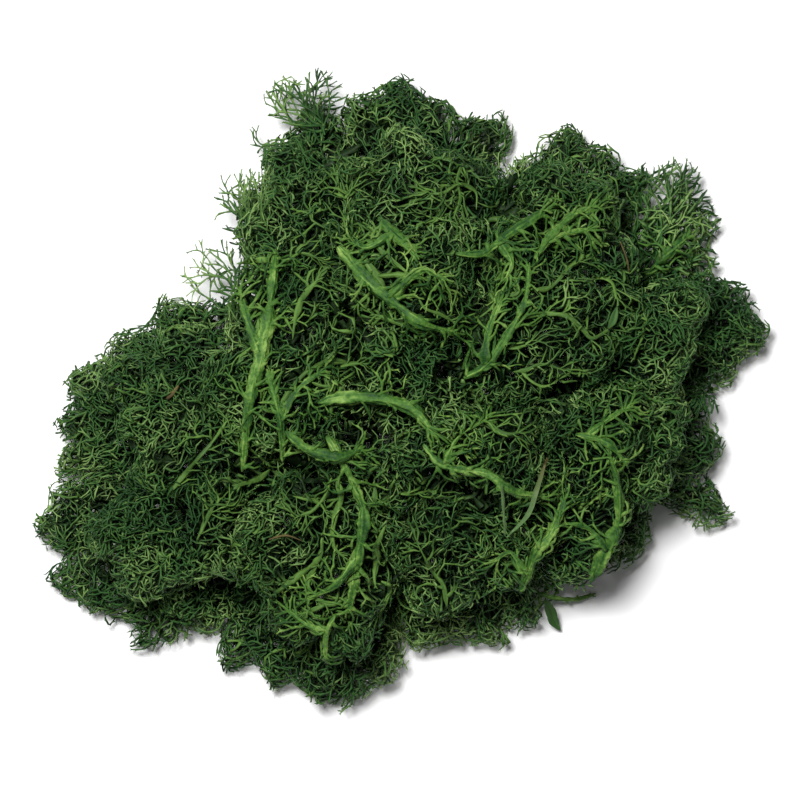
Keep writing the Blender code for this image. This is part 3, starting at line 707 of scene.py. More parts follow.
def dry_finish(name, dark, pale, brown, roughness):
    """Dry plant stuff: ribs of two colours, with brown at the end where its age is 0."""
    material, tree, shader = tree_of(name)
    spot = node(tree, "ShaderNodeTexCoord", output="Object")
    age, tint = (
        node(tree, "ShaderNodeAttribute", {"attribute_name": mark}, output="Fac") for mark in ("age", "tint")
    )
    grain = node(tree, "ShaderNodeTexNoise", None, {"Vector": spot, "Scale": 1600.0, "Detail": 3.0})
    colour = mixed(tree, tint * 0.7 + grain * 0.5 - 0.1, (*dark, 1.0), (*pale, 1.0))
    colour = mixed(tree, (1.0 - age) ** 3.0 * (grain + 0.5), colour, (*brown, 1.0))
    tree.links.new(colour.socket, shader.inputs["Base Color"])
    rough = grain * 0.3 + (roughness - 0.15)
    tree.links.new(rough.socket, shader.inputs["Roughness"])
    bump = node(tree, "ShaderNodeBump", None, {"Strength": 0.4, "Distance": 0.0002, "Height": grain})
    tree.links.new(bump.socket, shader.inputs["Normal"])
    shader.inputs["Specular IOR Level"].default_value = 0.2
    return material


dry_grass = dry_finish(
    "dry grass", (0.040, 0.095, 0.030), (0.150, 0.260, 0.095), (0.100, 0.066, 0.026), 0.6
)
for name, knots, seed in (("grass_blade", GRASS_BLADE, 140), ("straw", STRAW, 141)):
    random = np.random.default_rng(seed)
    shell = Shell()
    spine, radii = spine_on(solid_of(name), knots, 0.5, 0.3)
    if name == "grass_blade":
        add_blade(shell, spine, radii, random)
    else:
        add_stem(shell, spine, radii, random, flatness=0.9)
    close_round(spine, radii)
    shell.stand_for(name, dry_grass, "straw")

# THE NEEDLES AND THE FLAKE OF BARK
# Two dry conifer needles and a splinter of bark, brown, caught between the branchlets.

NEEDLES = {
    "brown_needle": [(44.0, 30.0, 0.15), (45.2, 26.8, 0.26), (45.8, 23.8, 0.10)],
    "tan_needle": [(-25.4, -28.8, 0.14), (-22.0, -28.0, 0.24), (-18.8, -29.0, 0.10)],
}
BARK_FLAKE = [(-45.6, -1.2, 0.20), (-44.8, -0.4, 0.40), (-44.0, 0.5, 0.36), (-43.2, 1.6, 0.15)]

dry_brown = dry_finish(
    "dry brown", (0.045, 0.032, 0.010), (0.165, 0.125, 0.042), (0.045, 0.030, 0.010), 0.7
)
for seed, (name, knots) in enumerate(NEEDLES.items(), 150):
    random = np.random.default_rng(seed)
    shell = Shell()
    spine, radii = spine_on(solid_of(name), knots, 0.4, 0.6)
    add_stem(shell, spine, radii, random, flatness=0.6)
    close_round(spine, radii)
    shell.stand_for(name, dry_brown, "needle")
random = np.random.default_rng(155)
shell = Shell()
spine, radii = spine_on(solid_of("bark_flake"), BARK_FLAKE, 0.4, 0.5)
add_blade(shell, spine, radii, random, thickness=0.3, fold=-0.2, ribs=7)
shell.stand_for("bark_flake", dry_brown, "needle")

# THE SCRAPS OF LEAF
# Two small dark green leaves: one lies folded on the crowns at the right, the other hangs out of the lower edge
# with its point on the ground.

LEAVES = {
    "leaf_scrap": [(41.4, 12.8, 0.20), (42.3, 14.0, 0.70), (42.8, 15.6, 0.60), (43.2, 17.0, 0.15)],
    "leaf_tail": [(29.6, -41.4, 0.4), (30.6, -43.6, 1.00), (31.4, -45.8, 0.9), (32.6, -47.4, 0.2)],
}

dark_leaf = dry_finish(
    "dark leaf", (0.014, 0.056, 0.012), (0.065, 0.145, 0.034), (0.030, 0.070, 0.014), 0.7
)
for seed, (name, knots) in enumerate(LEAVES.items(), 160):
    random = np.random.default_rng(seed)
    shell = Shell()
    spine, radii = spine_on(solid_of(name), knots, 0.4, 0.5)
    add_blade(shell, spine, radii, random, thickness=0.2, fold=0.4, ribs=9)
    close_round(spine, radii)
    shell.stand_for(name, dark_leaf, "leaf")

# THE TUFTS OF THE LOWER LAYER
# Reindeer lichen grows as a cushion of hollow threads. Each tuft is one plant: stout branches leave its root,
# fork in two again and again, and end in a dense crown of crooked, thorn-tipped branchlets. It has been soaked
# in glycerine and green dye, so it is soft and dull, and the tufts are pressed together and only lie there.

LOWER_TUFTS = {
    "tuft_lower_left_edge": (-32, -30, 4),
    "tuft_lower_left": (-26, -20, 5),
    "tuft_left": (-26, -3, 5),
    "tuft_bottom": (-12, -22, 5),
    "tuft_bottom_right": (12, -20, 5),
    "tuft_lower_right": (33, -34, 5),
    "tuft_right_lower": (36, -9, 5),
    "tuft_right": (38, 9, 5),
    "tuft_top_right": (28, 22, 5),
    "tuft_top": (5, 26, 5),
    "tuft_top_left": (-12, 25, 5),
    "tuft_middle": (2, -4, 5),
}

# Branchlets end within this depth under a tuft's surface. The last main branch of each fan starts at its bottom.
CROWN_DEPTH = 4.2
FAN_SPACING = 2.6

# A branch that carries n fans has this radius times n to this power.
FAN_BRANCH_RADIUS = 0.28
THICKENING = 0.28
MAIN_STEP = 2.8

CROWN_HABIT = {
    "forks": 7, "steps": 1, "internode": 1.4, "shortening": 0.95, "radius": 0.21, "thinning": 0.94,
    "angle": 36.0, "curl": 0.20, "wander": 0.18, "outward": 0.5, "flow": 0.12, "flat": 1.0, "lying": 0.2,
    "level": 0.1, "unevenness": 0.6, "slack": 0.6, "settle": 0.0, "press": 0.8, "web": 0.45,
}
# Stouter, paler branches that come up to the surface and run along it, from this share of the fans.
BOUGH_SHARE = 0.30
BOUGH_CELL = 1.7
# Where tufts were pressed flat, twigs lie side by side and leave long gaps.
FLAT_CELL = (0.8, 0.8, 3.6)
FAN_CELL = (0.6, 0.6, 1.7)
BOUGH_HABIT = {
    "forks": 5, "steps": 2, "internode": 2.8, "shortening": 0.88, "radius": 0.34, "thinning": 0.86,
    "angle": 34.0, "curl": 0.20, "wander": 0.14, "outward": 0.8, "flow": 0.15, "flat": 2.4, "lying": 0.3,
    "level": -0.2, "unevenness": 0.3, "slack": 0.8, "settle": 0.3, "press": 1.0, "web": 0.6,
}
# At the edges of the clump the branchlets were pressed flat, and reach straight out past the solids.
RIM_HABIT = {
    "forks": 6, "steps": 2, "internode": 2.1, "shortening": 0.86, "radius": 0.26, "thinning": 0.90,
    "angle": 27.0, "curl": 0.20, "wander": 0.12, "outward": 0.5, "flow": 0.0, "flat": 2.4, "lying": 0.8,
    "level": -1.0, "unevenness": 0.6, "slack": 0.8, "settle": 0.0, "press": 0.2, "web": 0.6,
}
# A tuft that was pressed flat: its ribs fork side by side, in thin sheets.
FLAT_HABIT = {
    "forks": 9, "steps": 2, "internode": 3.8, "shortening": 0.90, "radius": 0.50, "thinning": 0.91,
    "angle": 23.0, "curl": 0.22, "wander": 0.10, "outward": 0.0, "flow": 0.0, "flat": 4.0, "lying": 1.0,
    "level": -0.8, "unevenness": 0.4, "slack": 1.2, "settle": 0.0, "press": 0.0, "web": 0.6,
}
# The old wood lies between these depths under the top of the clump, and this deep in its own tuft, with one crooked
# branch for each so many millimetres. It also reaches this far into the gaps between tufts. All of it is painted
# near-black, as painted shade, and in the gaps it is a dark fill that stands in for the shade there.
BURIED = 3.8
DEEPEST = 10.0
OLD_WOOD_DEPTH = 1.1
OLD_WOOD_SPACING = 2.1
OLD_WOOD_RADIUS = 1.2
GAP_REACH = 3.0
GAP_BURIED = 7.0
GAP_DEEPEST = 15.0
GAP_WIDTH = 12.0
# Painted shade: branches go dark from the first to the second of these depths under their tuft's surface.
PAINTED_SHADE_DEPTHS = (0.1, 1.8)

# Branches that show on the crowns, as (x, y, radius) points from their thick end. Each is a part of the tuft that
# is on top at its middle.
BOUGHS = [
    [(-31.6, 25.4, 0.3), (-27.0, 26.3, 0.6), (-23.0, 25.8, 0.6), (-19.0, 27.6, 0.4), (-15.5, 26.5, 0.25)],
    [(-26.6, 8.6, 0.9), (-27.4, 12.0, 0.8), (-27.0, 15.6, 0.4)],
    [(-20.6, 10.6, 0.3), (-20.0, 15.0, 0.5), (-18.4, 19.2, 0.9), (-15.8, 22.2, 0.5)],
    [(-23.8, -3.6, 0.4), (-21.4, 0.2, 0.6), (-18.6, 3.6, 0.6), (-14.8, 6.0, 0.5), (-11.6, 9.2, 0.3)],
    [(-16.8, 2.2, 0.3), (-14.2, 1.4, 0.5), (-10.8, 2.2, 0.3)],
    [(-13.2, -4.6, 0.4), (-13.0, -0.6, 0.5), (-13.8, 2.6, 0.3)],
    [(-11.2, 5.2, 0.4), (-9.0, 5.8, 0.6), (-7.0, 5.8, 0.3)],
    [(-3.6, 20.6, 0.7), (-5.6, 19.4, 0.6), (-8.6, 16.8, 0.35)],
    [(-2.6, 20.6, 0.9), (-4.4, 23.2, 0.9), (-6.2, 25.8, 0.8), (-7.4, 28.4, 0.6), (-9.2, 30.6, 0.35)],
    [(-3.8, 23.0, 0.8), (0.0, 23.2, 0.8), (3.0, 22.8, 0.6), (6.4, 22.2, 0.3)],
    [(1.8, 23.8, 0.5), (-0.8, 26.0, 0.7), (-3.0, 28.0, 0.7), (-5.4, 30.2, 0.4)],
    [(8.4, 12.4, 0.5), (4.6, 12.0, 0.7), (1.0, 13.4, 0.6), (-2.4, 14.8, 0.5), (-5.0, 15.6, 0.25)],
    [(4.2, 18.4, 0.3), (5.4, 16.6, 0.5), (8.4, 15.4, 0.5), (11.4, 13.8, 0.3)],
    [(-0.8, 31.0, 0.5), (-2.8, 31.0, 0.5), (-5.6, 32.8, 0.3)],
    [(-14.4, 32.6, 0.4), (-16.8, 34.2, 0.4), (-17.4, 36.4, 0.25)],
    [(-11.0, 33.2, 0.5), (-9.6, 36.0, 0.6), (-9.8, 39.2, 0.35)],
    [(23.4, 33.8, 0.6), (20.0, 34.6, 0.5), (16.2, 33.8, 0.3)],
    [(17.6, 27.8, 0.5), (19.6, 26.2, 0.4), (20.0, 23.6, 0.25)],
    [(21.6, 31.0, 0.5), (22.8, 29.0, 0.4), (22.2, 26.8, 0.25)],
    [(33.0, 34.4, 0.6), (36.6, 34.8, 0.5), (41.0, 37.6, 0.3)],
    [(26.0, 20.4, 0.6), (29.2, 20.6, 0.5), (31.6, 22.2, 0.5), (33.8, 24.8, 0.6), (36.4, 27.0, 0.4), (35.4, 29.4, 0.25)],
    [(17.6, 18.0, 0.4), (20.8, 19.0, 0.7), (23.6, 19.8, 0.5), (23.0, 23.2, 0.3)],
    [(23.2, 14.6, 0.6), (27.0, 15.4, 0.5), (30.2, 15.6, 0.5), (33.4, 15.0, 0.5), (36.4, 12.4, 0.5), (38.4, 10.8, 0.4),
     (42.0, 12.8, 0.3)],
    [(21.0, 8.8, 0.5), (24.0, 9.0, 0.4), (26.6, 10.6, 0.25)],
    [(24.2, 4.8, 0.6), (26.0, 2.6, 0.5), (28.6, 1.4, 0.4), (31.0, 2.2, 0.25)],
    [(22.6, 4.2, 0.3), (25.0, 4.6, 0.5), (28.4, 5.8, 0.4), (33.0, 4.4, 0.25)],
    [(36.6, 21.2, 0.3), (40.0, 22.8, 0.4), (42.4, 21.8, 0.5), (43.2, 18.6, 0.4)],
    [(-25.2, -15.0, 0.6), (-27.6, -16.8, 1.0), (-32.0, -18.2, 0.6)],
    [(-29.6, -10.4, 0.3), (-27.4, -12.4, 0.35), (-25.0, -14.6, 0.3)],
    [(-13.0, -16.6, 0.3), (-14.2, -20.0, 0.5), (-15.6, -21.8, 0.5), (-17.0, -23.2, 0.5), (-19.8, -24.2, 0.25)],
    [(-20.6, -20.2, 0.25), (-18.0, -20.8, 0.45), (-15.4, -21.6, 0.5), (-13.6, -24.4, 0.3)],
    [(-12.0, -16.8, 0.4), (-11.1, -20.4, 0.7), (-12.4, -25.2, 0.6), (-12.6, -29.8, 0.5), (-10.2, -32.6, 0.35)],
    [(-14.8, -28.4, 0.5), (-15.4, -32.4, 0.7), (-19.8, -36.2, 0.8), (-23.0, -38.6, 0.5), (-25.4, -40.4, 0.25)],
    [(-15.6, -33.4, 0.5), (-17.8, -38.0, 0.6), (-14.0, -41.6, 0.6), (-10.2, -40.6, 0.5)],
    [(-4.6, -16.8, 0.3), (-4.5, -21.0, 0.5), (-5.0, -25.4, 0.3)],
    [(-2.4, -26.0, 0.35), (-4.2, -30.2, 0.6), (-4.1, -32.6, 0.9), (-4.6, -36.0, 0.5), (-4.3, -38.4, 0.25)],
    [(-14.4, -41.8, 0.6), (-17.0, -42.8, 0.5), (-19.4, -43.8, 0.25)],
    [(-15.2, -46.0, 0.4), (-16.6, -48.6, 0.5), (-17.8, -51.4, 0.5)],
    [(9.8, -42.4, 0.7), (9.0, -38.0, 0.8), (6.8, -35.0, 0.5), (3.8, -29.4, 0.25)],
    [(0.6, -19.8, 0.4), (3.4, -19.8, 0.6), (6.6, -19.0, 0.35)],
    [(-3.2, -37.2, 0.35), (-1.4, -38.2, 0.6), (1.4, -40.6, 0.35)],
    [(15.6, 36.4, 0.25), (15.4, 40.0, 0.4), (12.0, 41.4, 0.6), (9.0, 39.6, 0.4), (5.8, 39.4, 0.25)],
    [(13.4, 46.6, 0.3), (11.8, 42.4, 0.6), (12.4, 38.6, 0.5), (11.0, 34.4, 0.25)],
    [(12.8, -3.4, 0.3), (16.6, -5.0, 0.6), (20.6, -7.8, 0.7), (24.4, -7.6, 0.35)],
    [(-45.0, -19.6, 0.3), (-42.0, -15.8, 0.6), (-36.4, -9.4, 0.5), (-33.6, -5.4, 0.25)],
    [(-39.6, -29.0, 0.3), (-38.0, -25.6, 0.6), (-36.6, -22.6, 0.4)],
]
BOUGH_SIDES = 11
BOUGH_RISE = 0.3
BOUGH_STOUTNESS = 0.95

# Hollows between the lobes, as (x, y, radius, angle in degrees): few branchlets grow there down to their depth.
HOLLOWS = [
    (-11.0, 14.6, 2.2, 60), (-31.4, -13.6, 2.4, 90), (14.2, 8.6, 2.8, 70), (6.2, -17.4, 2.5, 0),
    (16.4, -21.8, 3.0, -30), (50.0, -25.4, 2.5, 45), (32.4, 0.6, 2.3, 20), (-24.6, -5.0, 1.7, 90),
    (-4.0, -38.5, 2.1, 30), (24.0, 37.0, 2.1, 90), (-19.6, 12.0, 1.9, 80), (9.0, 4.5, 1.9, 45),
    (40.5, -16.0, 2.0, 90), (-9.0, -5.4, 1.8, 0), (-17.8, -17.6, 1.9, 20),
]
HOLLOW_DEPTH = 5.5


def close_hollow(x, y, radius, angle, random):
    hit = every_tuft.ray_cast(Vector((x, y, 90.0)), Vector((0, 0, -1)))[0]
    if hit is None:
        return
    grid = np.arange(-2.0 * radius, 2.0 * radius, 0.34)
    rise = np.arange(hit.z - HOLLOW_DEPTH, hit.z + 4.0, 0.34)
    spots = np.stack(np.meshgrid(grid, grid, rise), axis=-1).reshape(-1, 3)
    turn = math.radians(angle)
    length = spots[:, 0] * math.cos(turn) + spots[:, 1] * math.sin(turn)
    width = spots[:, 1] * math.cos(turn) - spots[:, 0] * math.sin(turn)
    narrow = radius * (0.55 + 0.45 * np.clip((spots[:, 2] - rise[0]) / HOLLOW_DEPTH, 0.0, 1.0))
    spots = spots[np.hypot(length / 1.5, width / 0.75) < narrow * random.uniform(0.2, 1.2, len(spots))]
    room.close(spots + [x, y, 0.0])


random = np.random.default_rng(7)
for hollow in HOLLOWS:
    close_hollow(*hollow, random)

bough_room = Room(BOUGH_CELL)
flat_room = Room(FLAT_CELL)
fan_room = Room(FAN_CELL)


def spots_on(name, spacing, random):
    """Places spread evenly over a solid's surface, and which way is out at each."""
    mesh = frame["nodes"][name].data
    mesh.calc_loop_triangles()
    corners = np.array([[mesh.vertices[k].co for k in face.vertices] for face in mesh.loop_triangles]) / MM
    across = np.cross(corners[:, 1] - corners[:, 0], corners[:, 2] - corners[:, 0])
    areas = np.linalg.norm(across, axis=1)
    tries = int(4.0 * areas.sum() / spacing**2)
    faces = random.choice(len(areas), tries, p=areas / areas.sum())
    a, b = np.sort(random.random((2, tries)), axis=0)[..., None]
    places = corners[faces, 0] * a + corners[faces, 1] * (b - a) + corners[faces, 2] * (1.0 - b)
    kept = []
    for k in range(tries):
        if not kept or np.linalg.norm(places[kept] - places[k], axis=1).min() > spacing:
            kept.append(k)
    return places[kept], unit(across[faces[kept]])


SKY = []
for k in range(24):
    height = 1.0 - 1.25 * (k + 0.5) / 24
    turn = k * math.pi * (3.0 - math.sqrt(5.0))
    level = math.sqrt(1.0 - height * height)
    SKY.append(Vector((level * math.cos(turn), level * math.sin(turn), height)))


def open_share(places, outs):
    """How much of the sky and of the sides each place on a surface can see."""
    seen = np.zeros(len(places))
    for k, place in enumerate(places + outs * 0.7):
        seen[k] = sum(every_tuft.ray_cast(Vector(place), ray)[0] is None for ray in SKY) / len(SKY)
    return seen


def tops_at(places, surface=every_tuft):
    """The height of the surface above each place, or nothing where the surface isn't over it."""
    falls = [surface.ray_cast(Vector((x, y, 90.0)), Vector((0, 0, -1)))[0] for x, y, _ in places]
    return np.array([np.nan if fall is None else fall.z for fall in falls])


def bend_to(growth, joint, place, way, radius, tint):
    """One smooth branch from a joint to a place, where it heads the given way."""
    start, heading, thick = growth.place[joint], growth.heading[joint], growth.radius[joint]
    length = np.linalg.norm(place - start)
    steps = max(1, round(length / MAIN_STEP))
    reach = length / 3.0
    for step in range(1, steps + 1):
        t = step / steps
        s = 1.0 - t
        spot = s**3 * start + 3 * s * s * t * (start + heading * reach)
        spot += 3 * s * t * t * (place - way * reach) + t**3 * place
        head = unit(spot - growth.place[joint])
        thickness = thick + (radius - thick) * min(1.0, 2.0 * t)
        joint = growth.add([joint], [spot], [head], thickness, 0.0, tint)[0]
    return joint


def main_branches(growth, start, hubs, ways, random):
    """Branches that fork in two again and again, until one ends at each hub and heads its way."""
    ends = np.zeros(len(hubs), int)
    waiting = [(start, np.arange(len(hubs)))]
    while waiting:
        joint, share = waiting.pop()
        place = growth.place[joint]
        middle = hubs[share].mean(axis=0)
        radius = FAN_BRANCH_RADIUS * len(share) ** THICKENING
        if len(share) == 1:
            ends[share[0]] = bend_to(growth, joint, hubs[share[0]], ways[share[0]], radius, random.random())
            continue
        spread = hubs[share] - middle
        widest = np.linalg.svd(spread, full_matrices=False)[2][0]
        side = spread @ widest > np.median(spread @ widest) * 0.3
        if side.all() or not side.any():
            side = np.arange(len(share)) % 2 == 0
        fork = place + (middle - place) * random.uniform(0.28, 0.5) + random.normal(0.0, 0.5, 3)
        fork[2] = max(fork[2], 1.5)
        joint = bend_to(growth, joint, fork, unit(middle - place), radius, random.random())
        waiting += [(joint, share[side]), (joint, share[~side])]
    return ends


crown_green = lichen_finish(
    "dyed lichen",
    colours=((0.006, 0.036, 0.008), (0.036, 0.104, 0.023), (0.210, 0.340, 0.100)),
    young=(0.115, 0.225, 0.040),
    # The inner colour is painted shade, near-black.
    inner=(0.003, 0.013, 0.003),
    spread=0.45,
    tip_highlight=0.45,
    patches=1.2,
    patch_scale=65.0,
    grains=0.5,
    bump=0.5,
)


def enclosed(places):
    """Whether moss stands on nearly every side of each place."""
    ways = [Vector((math.cos(turn), math.sin(turn), 0.0)) for turn in np.arange(8) * math.pi / 4.0]
    walls = np.zeros(len(places), int)
    for way in ways:
        walls += [every_tuft.ray_cast(Vector(place), way, GAP_WIDTH)[0] is not None for place in places]
    return walls >= 7


def tops_around(places):
    """The height of the highest moss close round each place."""
    tops = [tops_at(places + np.array(aside)) for aside in ((3.5, 0, 0), (-3.5, 0, 0), (0, 3.5, 0), (0, -3.5, 0))]
    return np.nan_to_num(tops, nan=0.0).max(axis=0)


def add_old_wood(growth, solid, random):
    """Dark crooked branches, each from the nearest wood, that fill the inside of a tuft and the gaps beside it.
    Their darkness is painted shade, and in the gaps they stand in for the shade there.
    """
    low, high = growth.place[: growth.count].min(axis=0) - 8.0, growth.place[: growth.count].max(axis=0) + 8.0
    ticks = [np.arange(max(low[k], 1.0 if k == 2 else -90.0), high[k], OLD_WOOD_SPACING) for k in range(3)]
    spots = np.stack(np.meshgrid(*ticks), axis=-1).reshape(-1, 3)
    spots = spots + random.uniform(-0.45, 0.45, spots.shape) * OLD_WOOD_SPACING
    spots[:, 2] = np.maximum(spots[:, 2], 1.0)
    depth, _ = depth_in(solid, spots)
    beside = spots[(depth > -GAP_REACH) & (depth < 0.0)]
    beside = beside[depth_in(every_tuft, beside)[0] < 0.0]
    buried = tops_around(beside) - beside[:, 2]
    beside = beside[(buried > GAP_BURIED) & (buried < GAP_DEEPEST)]
    beside = beside[enclosed(beside)]
    spots = spots[depth > OLD_WOOD_DEPTH]
    tops = tops_at(spots)
    buried = tops - spots[:, 2]
    spots = spots[(buried > np.minimum(BURIED, 0.4 * tops)) & (buried < DEEPEST)]
    spots = np.concatenate([spots, beside])
    for spot in spots[np.argsort(np.linalg.norm(spots - growth.place[0], axis=1))]:
        apart = np.linalg.norm(growth.place[: growth.count] - spot, axis=1)
        nearest = np.argmin(apart)
        if apart[nearest] > 0.4 * OLD_WOOD_SPACING:
            way = unit(spot - growth.place[nearest] + random.normal(0.0, 1.0, 3))
            bend_to(growth, nearest, spot, way, OLD_WOOD_RADIUS * random.uniform(0.7, 1.2), random.random())


def add_boughs(shell, growth, name, random):
    """The branches that were listed for this tuft. Returns the joints on them that may grow on."""
    ends = []
    for knots in BOUGHS:
        x, y, _ = knots[len(knots) // 2]
        x, y = x + CAD_SHIFT[0], y + CAD_SHIFT[1]
        if OWNERS.get((x, y)) != name:
            continue
        spine, radii = spine_on(every_tuft, knots, STEM_STEP, STEM_FLATNESS, -BOUGH_RISE)
        radii = radii * BOUGH_STOUTNESS
        add_stem(shell, spine, radii, random, ridges=4, sides=BOUGH_SIDES, age=0.04)
        close_round(spine, radii)
        ends.append(add_twigs(growth, spine, radii, TWIG_SPACING, random))
    return np.concatenate(ends) if ends else np.zeros(0, int)


def grow_tuft(name, root, habit, finish, seed, spacing=FAN_SPACING, crown_depth=CROWN_DEPTH, hidden=0.25):
    """One tuft in the room of its solid: main branches from the root to its fans, and the fans."""
    random = np.random.default_rng(seed)
    solid = solid_of(name)
    places, outs = spots_on(name, spacing, random)
    seen = open_share(places, outs)
    under = outs[:, 2] < -0.5
    on_top = np.nan_to_num(tops_at(places) - places[:, 2], nan=99.0) < 1.0
    keep = random.random(len(places)) < np.where(under, 0.15, hidden + 2.6 * seen + on_top)
    places, outs, seen, under, on_top = places[keep], outs[keep], seen[keep], under[keep], on_top[keep]
    rim = (np.abs(outs[:, 2]) < 0.6) & (seen > 0.35) & ~on_top
    room_inside = np.array([
        (solid.ray_cast(Vector(place - out * 0.05), Vector(-out))[3] or 1.0) for place, out in zip(places, outs)
    ])
    hubs = places - outs * np.minimum(np.where(rim, 1.3, 1.0) * crown_depth, 0.45 * room_inside)[:, None]
    root = np.array(root, float)
    flows = hubs - root
    flows = unit(flows - along(flows, outs) * outs)
    ways = outs * 0.9 + flows * 0.5 + random.normal(0.0, 0.3, outs.shape)
    ways[rim] = outs[rim] * [1.0, 1.0, 0.3] + random.normal(0.0, 0.15, outs[rim].shape)
    ways = unit(ways)
    shell, growth = Shell(), Growth()
    start = growth.plant(root, hubs.mean(axis=0) - root + UP * 2.0, FAN_BRANCH_RADIUS * len(hubs) ** THICKENING)
    ends = main_branches(growth, start, hubs, ways, random)
    wood = growth.count
    add_old_wood(growth, solid, random)
    growth.marks[: growth.count, 0] = 0.0
    inner = growth.count
    stubs = add_boughs(shell, growth, name, random)
    grow_fans(growth, stubs, growth.heading[stubs], every_tuft, TWIG_HABIT, room, random)
    boughs = ends[(random.random(len(ends)) < BOUGH_SHARE) & on_top & ~rim]
    grow_fans(growth, boughs, flows[np.isin(ends, boughs)], solid, BOUGH_HABIT, bough_room, random)
    growth.marks[inner : growth.count, 0] *= 0.3
    grow_fans(growth, ends[rim], flows[rim], solid, RIM_HABIT, flat_room, random)
    vigour = np.where(on_top | (seen + under * 0.15 > 0.12), habit["forks"], habit["forks"] - 3)
    grow_fans(growth, ends[~rim], flows[~rim], solid, habit, room, random, vigour[~rim])
    bodies = add_thorns(growth, random, inner)
    depth, _ = depth_in(solid, growth.place[: growth.count])
    # Painted shade: each joint's deep mark grows with its depth under the tuft's surface.
    growth.marks[: growth.count, 2] = np.interp(depth, PAINTED_SHADE_DEPTHS, (0.0, 1.0))
    # The old wood is painted all in shade; in the gaps between tufts it stands in for the shade there.
    growth.marks[wood:inner, 2] = 1.0
    shell.add_branches(growth, bodies)
    shell.stand_for(name, finish, "moss")


# Which tuft each listed branch lies on.
OWNERS = {}
tuft_solids = {name: solid_of(name) for name in frame["nodes"] if name.startswith(("tuft_", "sprig_"))}
for knots in BOUGHS:
    x, y, _ = knots[len(knots) // 2]
    x, y = x + CAD_SHIFT[0], y + CAD_SHIFT[1]
    tops = {name: tops_at([(x, y, 0.0)], solid)[0] for name, solid in tuft_solids.items()}
    OWNERS[x, y] = max(tops, key=lambda name: np.nan_to_num(tops[name], nan=-1.0))

for seed, (name, root) in enumerate(LOWER_TUFTS.items()):
    grow_tuft(name, root, CROWN_HABIT, crown_green, seed)

# THE TUFTS ON TOP
# Five smaller tufts lie on the others, some of them turned over.

UPPER_TUFTS = {
    "tuft_right_middle": (26, -14, 22),
    "tuft_centre_left": (-28, -10, 22),
    "tuft_right_centre": (20, 5, 22),
    "tuft_centre_top": (10, 14, 26),
    "tuft_centre_right": (23, -17, 24),
}

for seed, (name, root) in enumerate(UPPER_TUFTS.items(), 50):
    grow_tuft(name, root, CROWN_HABIT, crown_green, seed)

# THE THIN FAN AND THE SPRIGS
# A tuft that was pressed into a flat, open fan, seen through at the upper right, and three wispy sprigs that stick
# out of the upper left edge.

# Where the ribs start and how far apart, where they aim, their radius, their first length and how often they fork.
FLAT_TUFTS = {
    "tuft_upper_right": [
        (46, 21, 4.5), 0.8,
        [(50, 46, 3), (54, 49, 4), (58, 48, 3), (61, 45, 4), (65, 41, 3), (67, 36, 4), (66, 31, 3), (67, 26, 4),
         (51, 40, 8), (56, 44, 9), (60, 39, 9), (62, 33, 8), (57, 34, 10), (47, 34, 7)],
        0.38, 4.3, 10,
    ],
    "sprig_top_left": [
        (-16, 51, 12), 1.6,
        [(-31, 49, 7), (-28, 53, 8), (-26, 64, 7), (-20, 66, 8), (-14, 66, 8), (-17, 62, 10), (-23, 58, 9)],
        0.24, 3.4, 7,
    ],
    "sprig_left_fork": [
        (-28, 24, 13), 1.3,
        [(-37, 45, 7), (-33, 48, 8), (-29, 48, 11), (-26, 45, 12), (-38, 38, 8), (-31, 44, 12)],
        0.30, 3.8, 7,
    ],
    "sprig_left_curl": [
        (-27, 17, 14), 1.2,
        [(-46, 28, 5), (-42, 31, 7), (-38, 31, 8), (-49, 20, 8), (-35, 26, 11), (-44, 22, 8)],
        0.26, 3.6, 7,
    ],
}


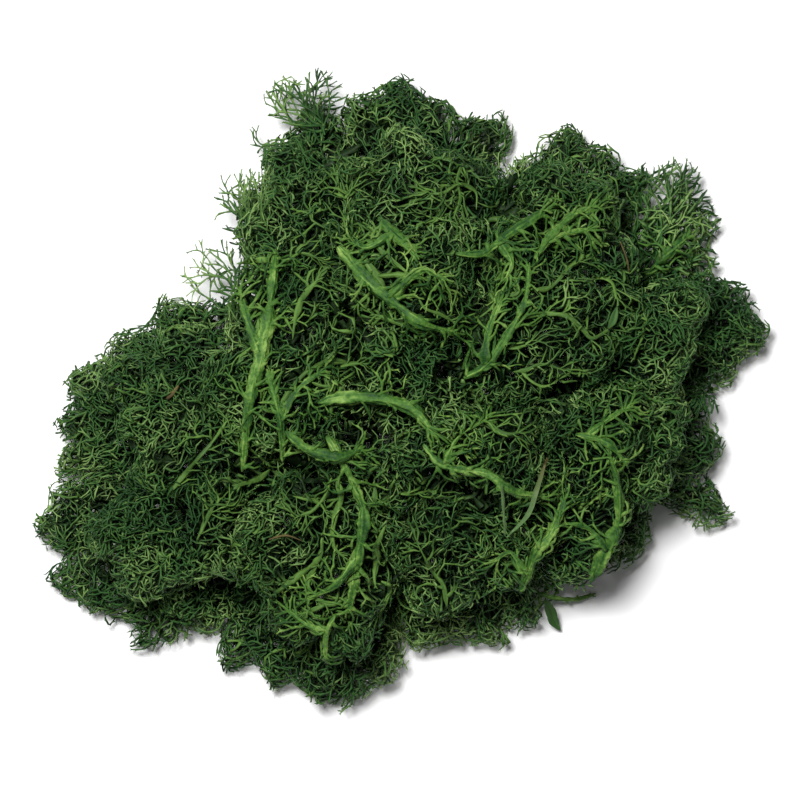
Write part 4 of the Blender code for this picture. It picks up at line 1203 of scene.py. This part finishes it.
def grow_flat(name, root, apart, aims, thick, length, forks, seed):
    """A flat tuft or sprig: ribs from its root, and their twigs."""
    random = np.random.default_rng(seed)
    solid = solid_of(name)
    shell, growth = Shell(), Growth()
    ends = []
    for aim in aims:
        foot = np.array(root, float) + random.normal(0.0, apart, 3) * [1.0, 1.0, 0.3]
        way = unit(np.array(aim, float) - foot)
        start = growth.plant(foot, way, thick, 0.3, random.random())
        ends += list(growth.add([start], [foot + way * 1.5], [way], thick * 0.9, 0.3, random.random()))
    stubs = add_boughs(shell, growth, name, random)
    grow_fans(growth, stubs, growth.heading[stubs], every_tuft, TWIG_HABIT, room, random)
    habit = {**FLAT_HABIT, "radius": thick, "internode": length, "forks": forks}
    grow_fans(growth, np.array(ends), growth.heading[ends], solid, habit, fan_room, random)
    growth.marks[: growth.count, 0] = np.minimum(growth.marks[: growth.count, 0] + 0.25, 1.0)
    shell.add_branches(growth, add_thorns(growth, random))
    shell.stand_for(name, crown_green, "moss")


for seed, (name, habits) in enumerate(FLAT_TUFTS.items(), 80):
    grow_flat(name, *habits, seed)

# THE FLOOR, THE LIGHT AND THE CAMERA
# A plain, nearly white floor, a large soft light up to the left, and a long lens that looks straight down.

FLOOR_HALF = 3.0
CAMERA_HEIGHT = 1.5
VIEW_WIDTH = 0.160
VIEW_MIDDLE = (0.0001, -0.0016)
VIEW_LEVEL = 0.008

material, tree, shader = tree_of("pale floor")
shader.inputs["Base Color"].default_value = (0.92, 0.92, 0.92, 1.0)
shader.inputs["Roughness"].default_value = 0.9
mesh = bpy.data.meshes.new("floor")
corners = [(x * FLOOR_HALF, y * FLOOR_HALF, 0.0) for x, y in ((-1, -1), (1, -1), (1, 1), (-1, 1))]
mesh.from_pydata(corners, [], [(0, 1, 2, 3)])
mesh.materials.append(material)
floor = bpy.data.objects.new("floor", mesh)
bpy.context.scene.collection.objects.link(floor)

world = bpy.data.worlds.new("studio")
world.use_nodes = True
world.node_tree.nodes["Background"].inputs["Color"].default_value = (1.0, 1.0, 1.0, 1.0)
world.node_tree.nodes["Background"].inputs["Strength"].default_value = 0.13
bpy.context.scene.world = world

lamp = bpy.data.lights.new("softbox", "AREA")
lamp.shape = "SQUARE"
lamp.size = 0.35
lamp.energy = 22.0
softbox = bpy.data.objects.new("softbox", lamp)
softbox.location = (-0.24, 0.34, 1.2)
softbox.rotation_euler = (Vector((0, 0, 0.01)) - softbox.location).to_track_quat("-Z", "Y").to_euler()
bpy.context.scene.collection.objects.link(softbox)

lens = bpy.data.cameras.new("camera")
lens.sensor_width = 36.0
lens.lens = lens.sensor_width * (CAMERA_HEIGHT - VIEW_LEVEL) / VIEW_WIDTH
lens.clip_start = 0.05
lens.clip_end = 20.0
camera = bpy.data.objects.new("camera", lens)
camera.location = (*VIEW_MIDDLE, CAMERA_HEIGHT)
bpy.context.scene.collection.objects.link(camera)
bpy.context.scene.camera = camera
bpy.context.scene.view_settings.view_transform = "Standard"
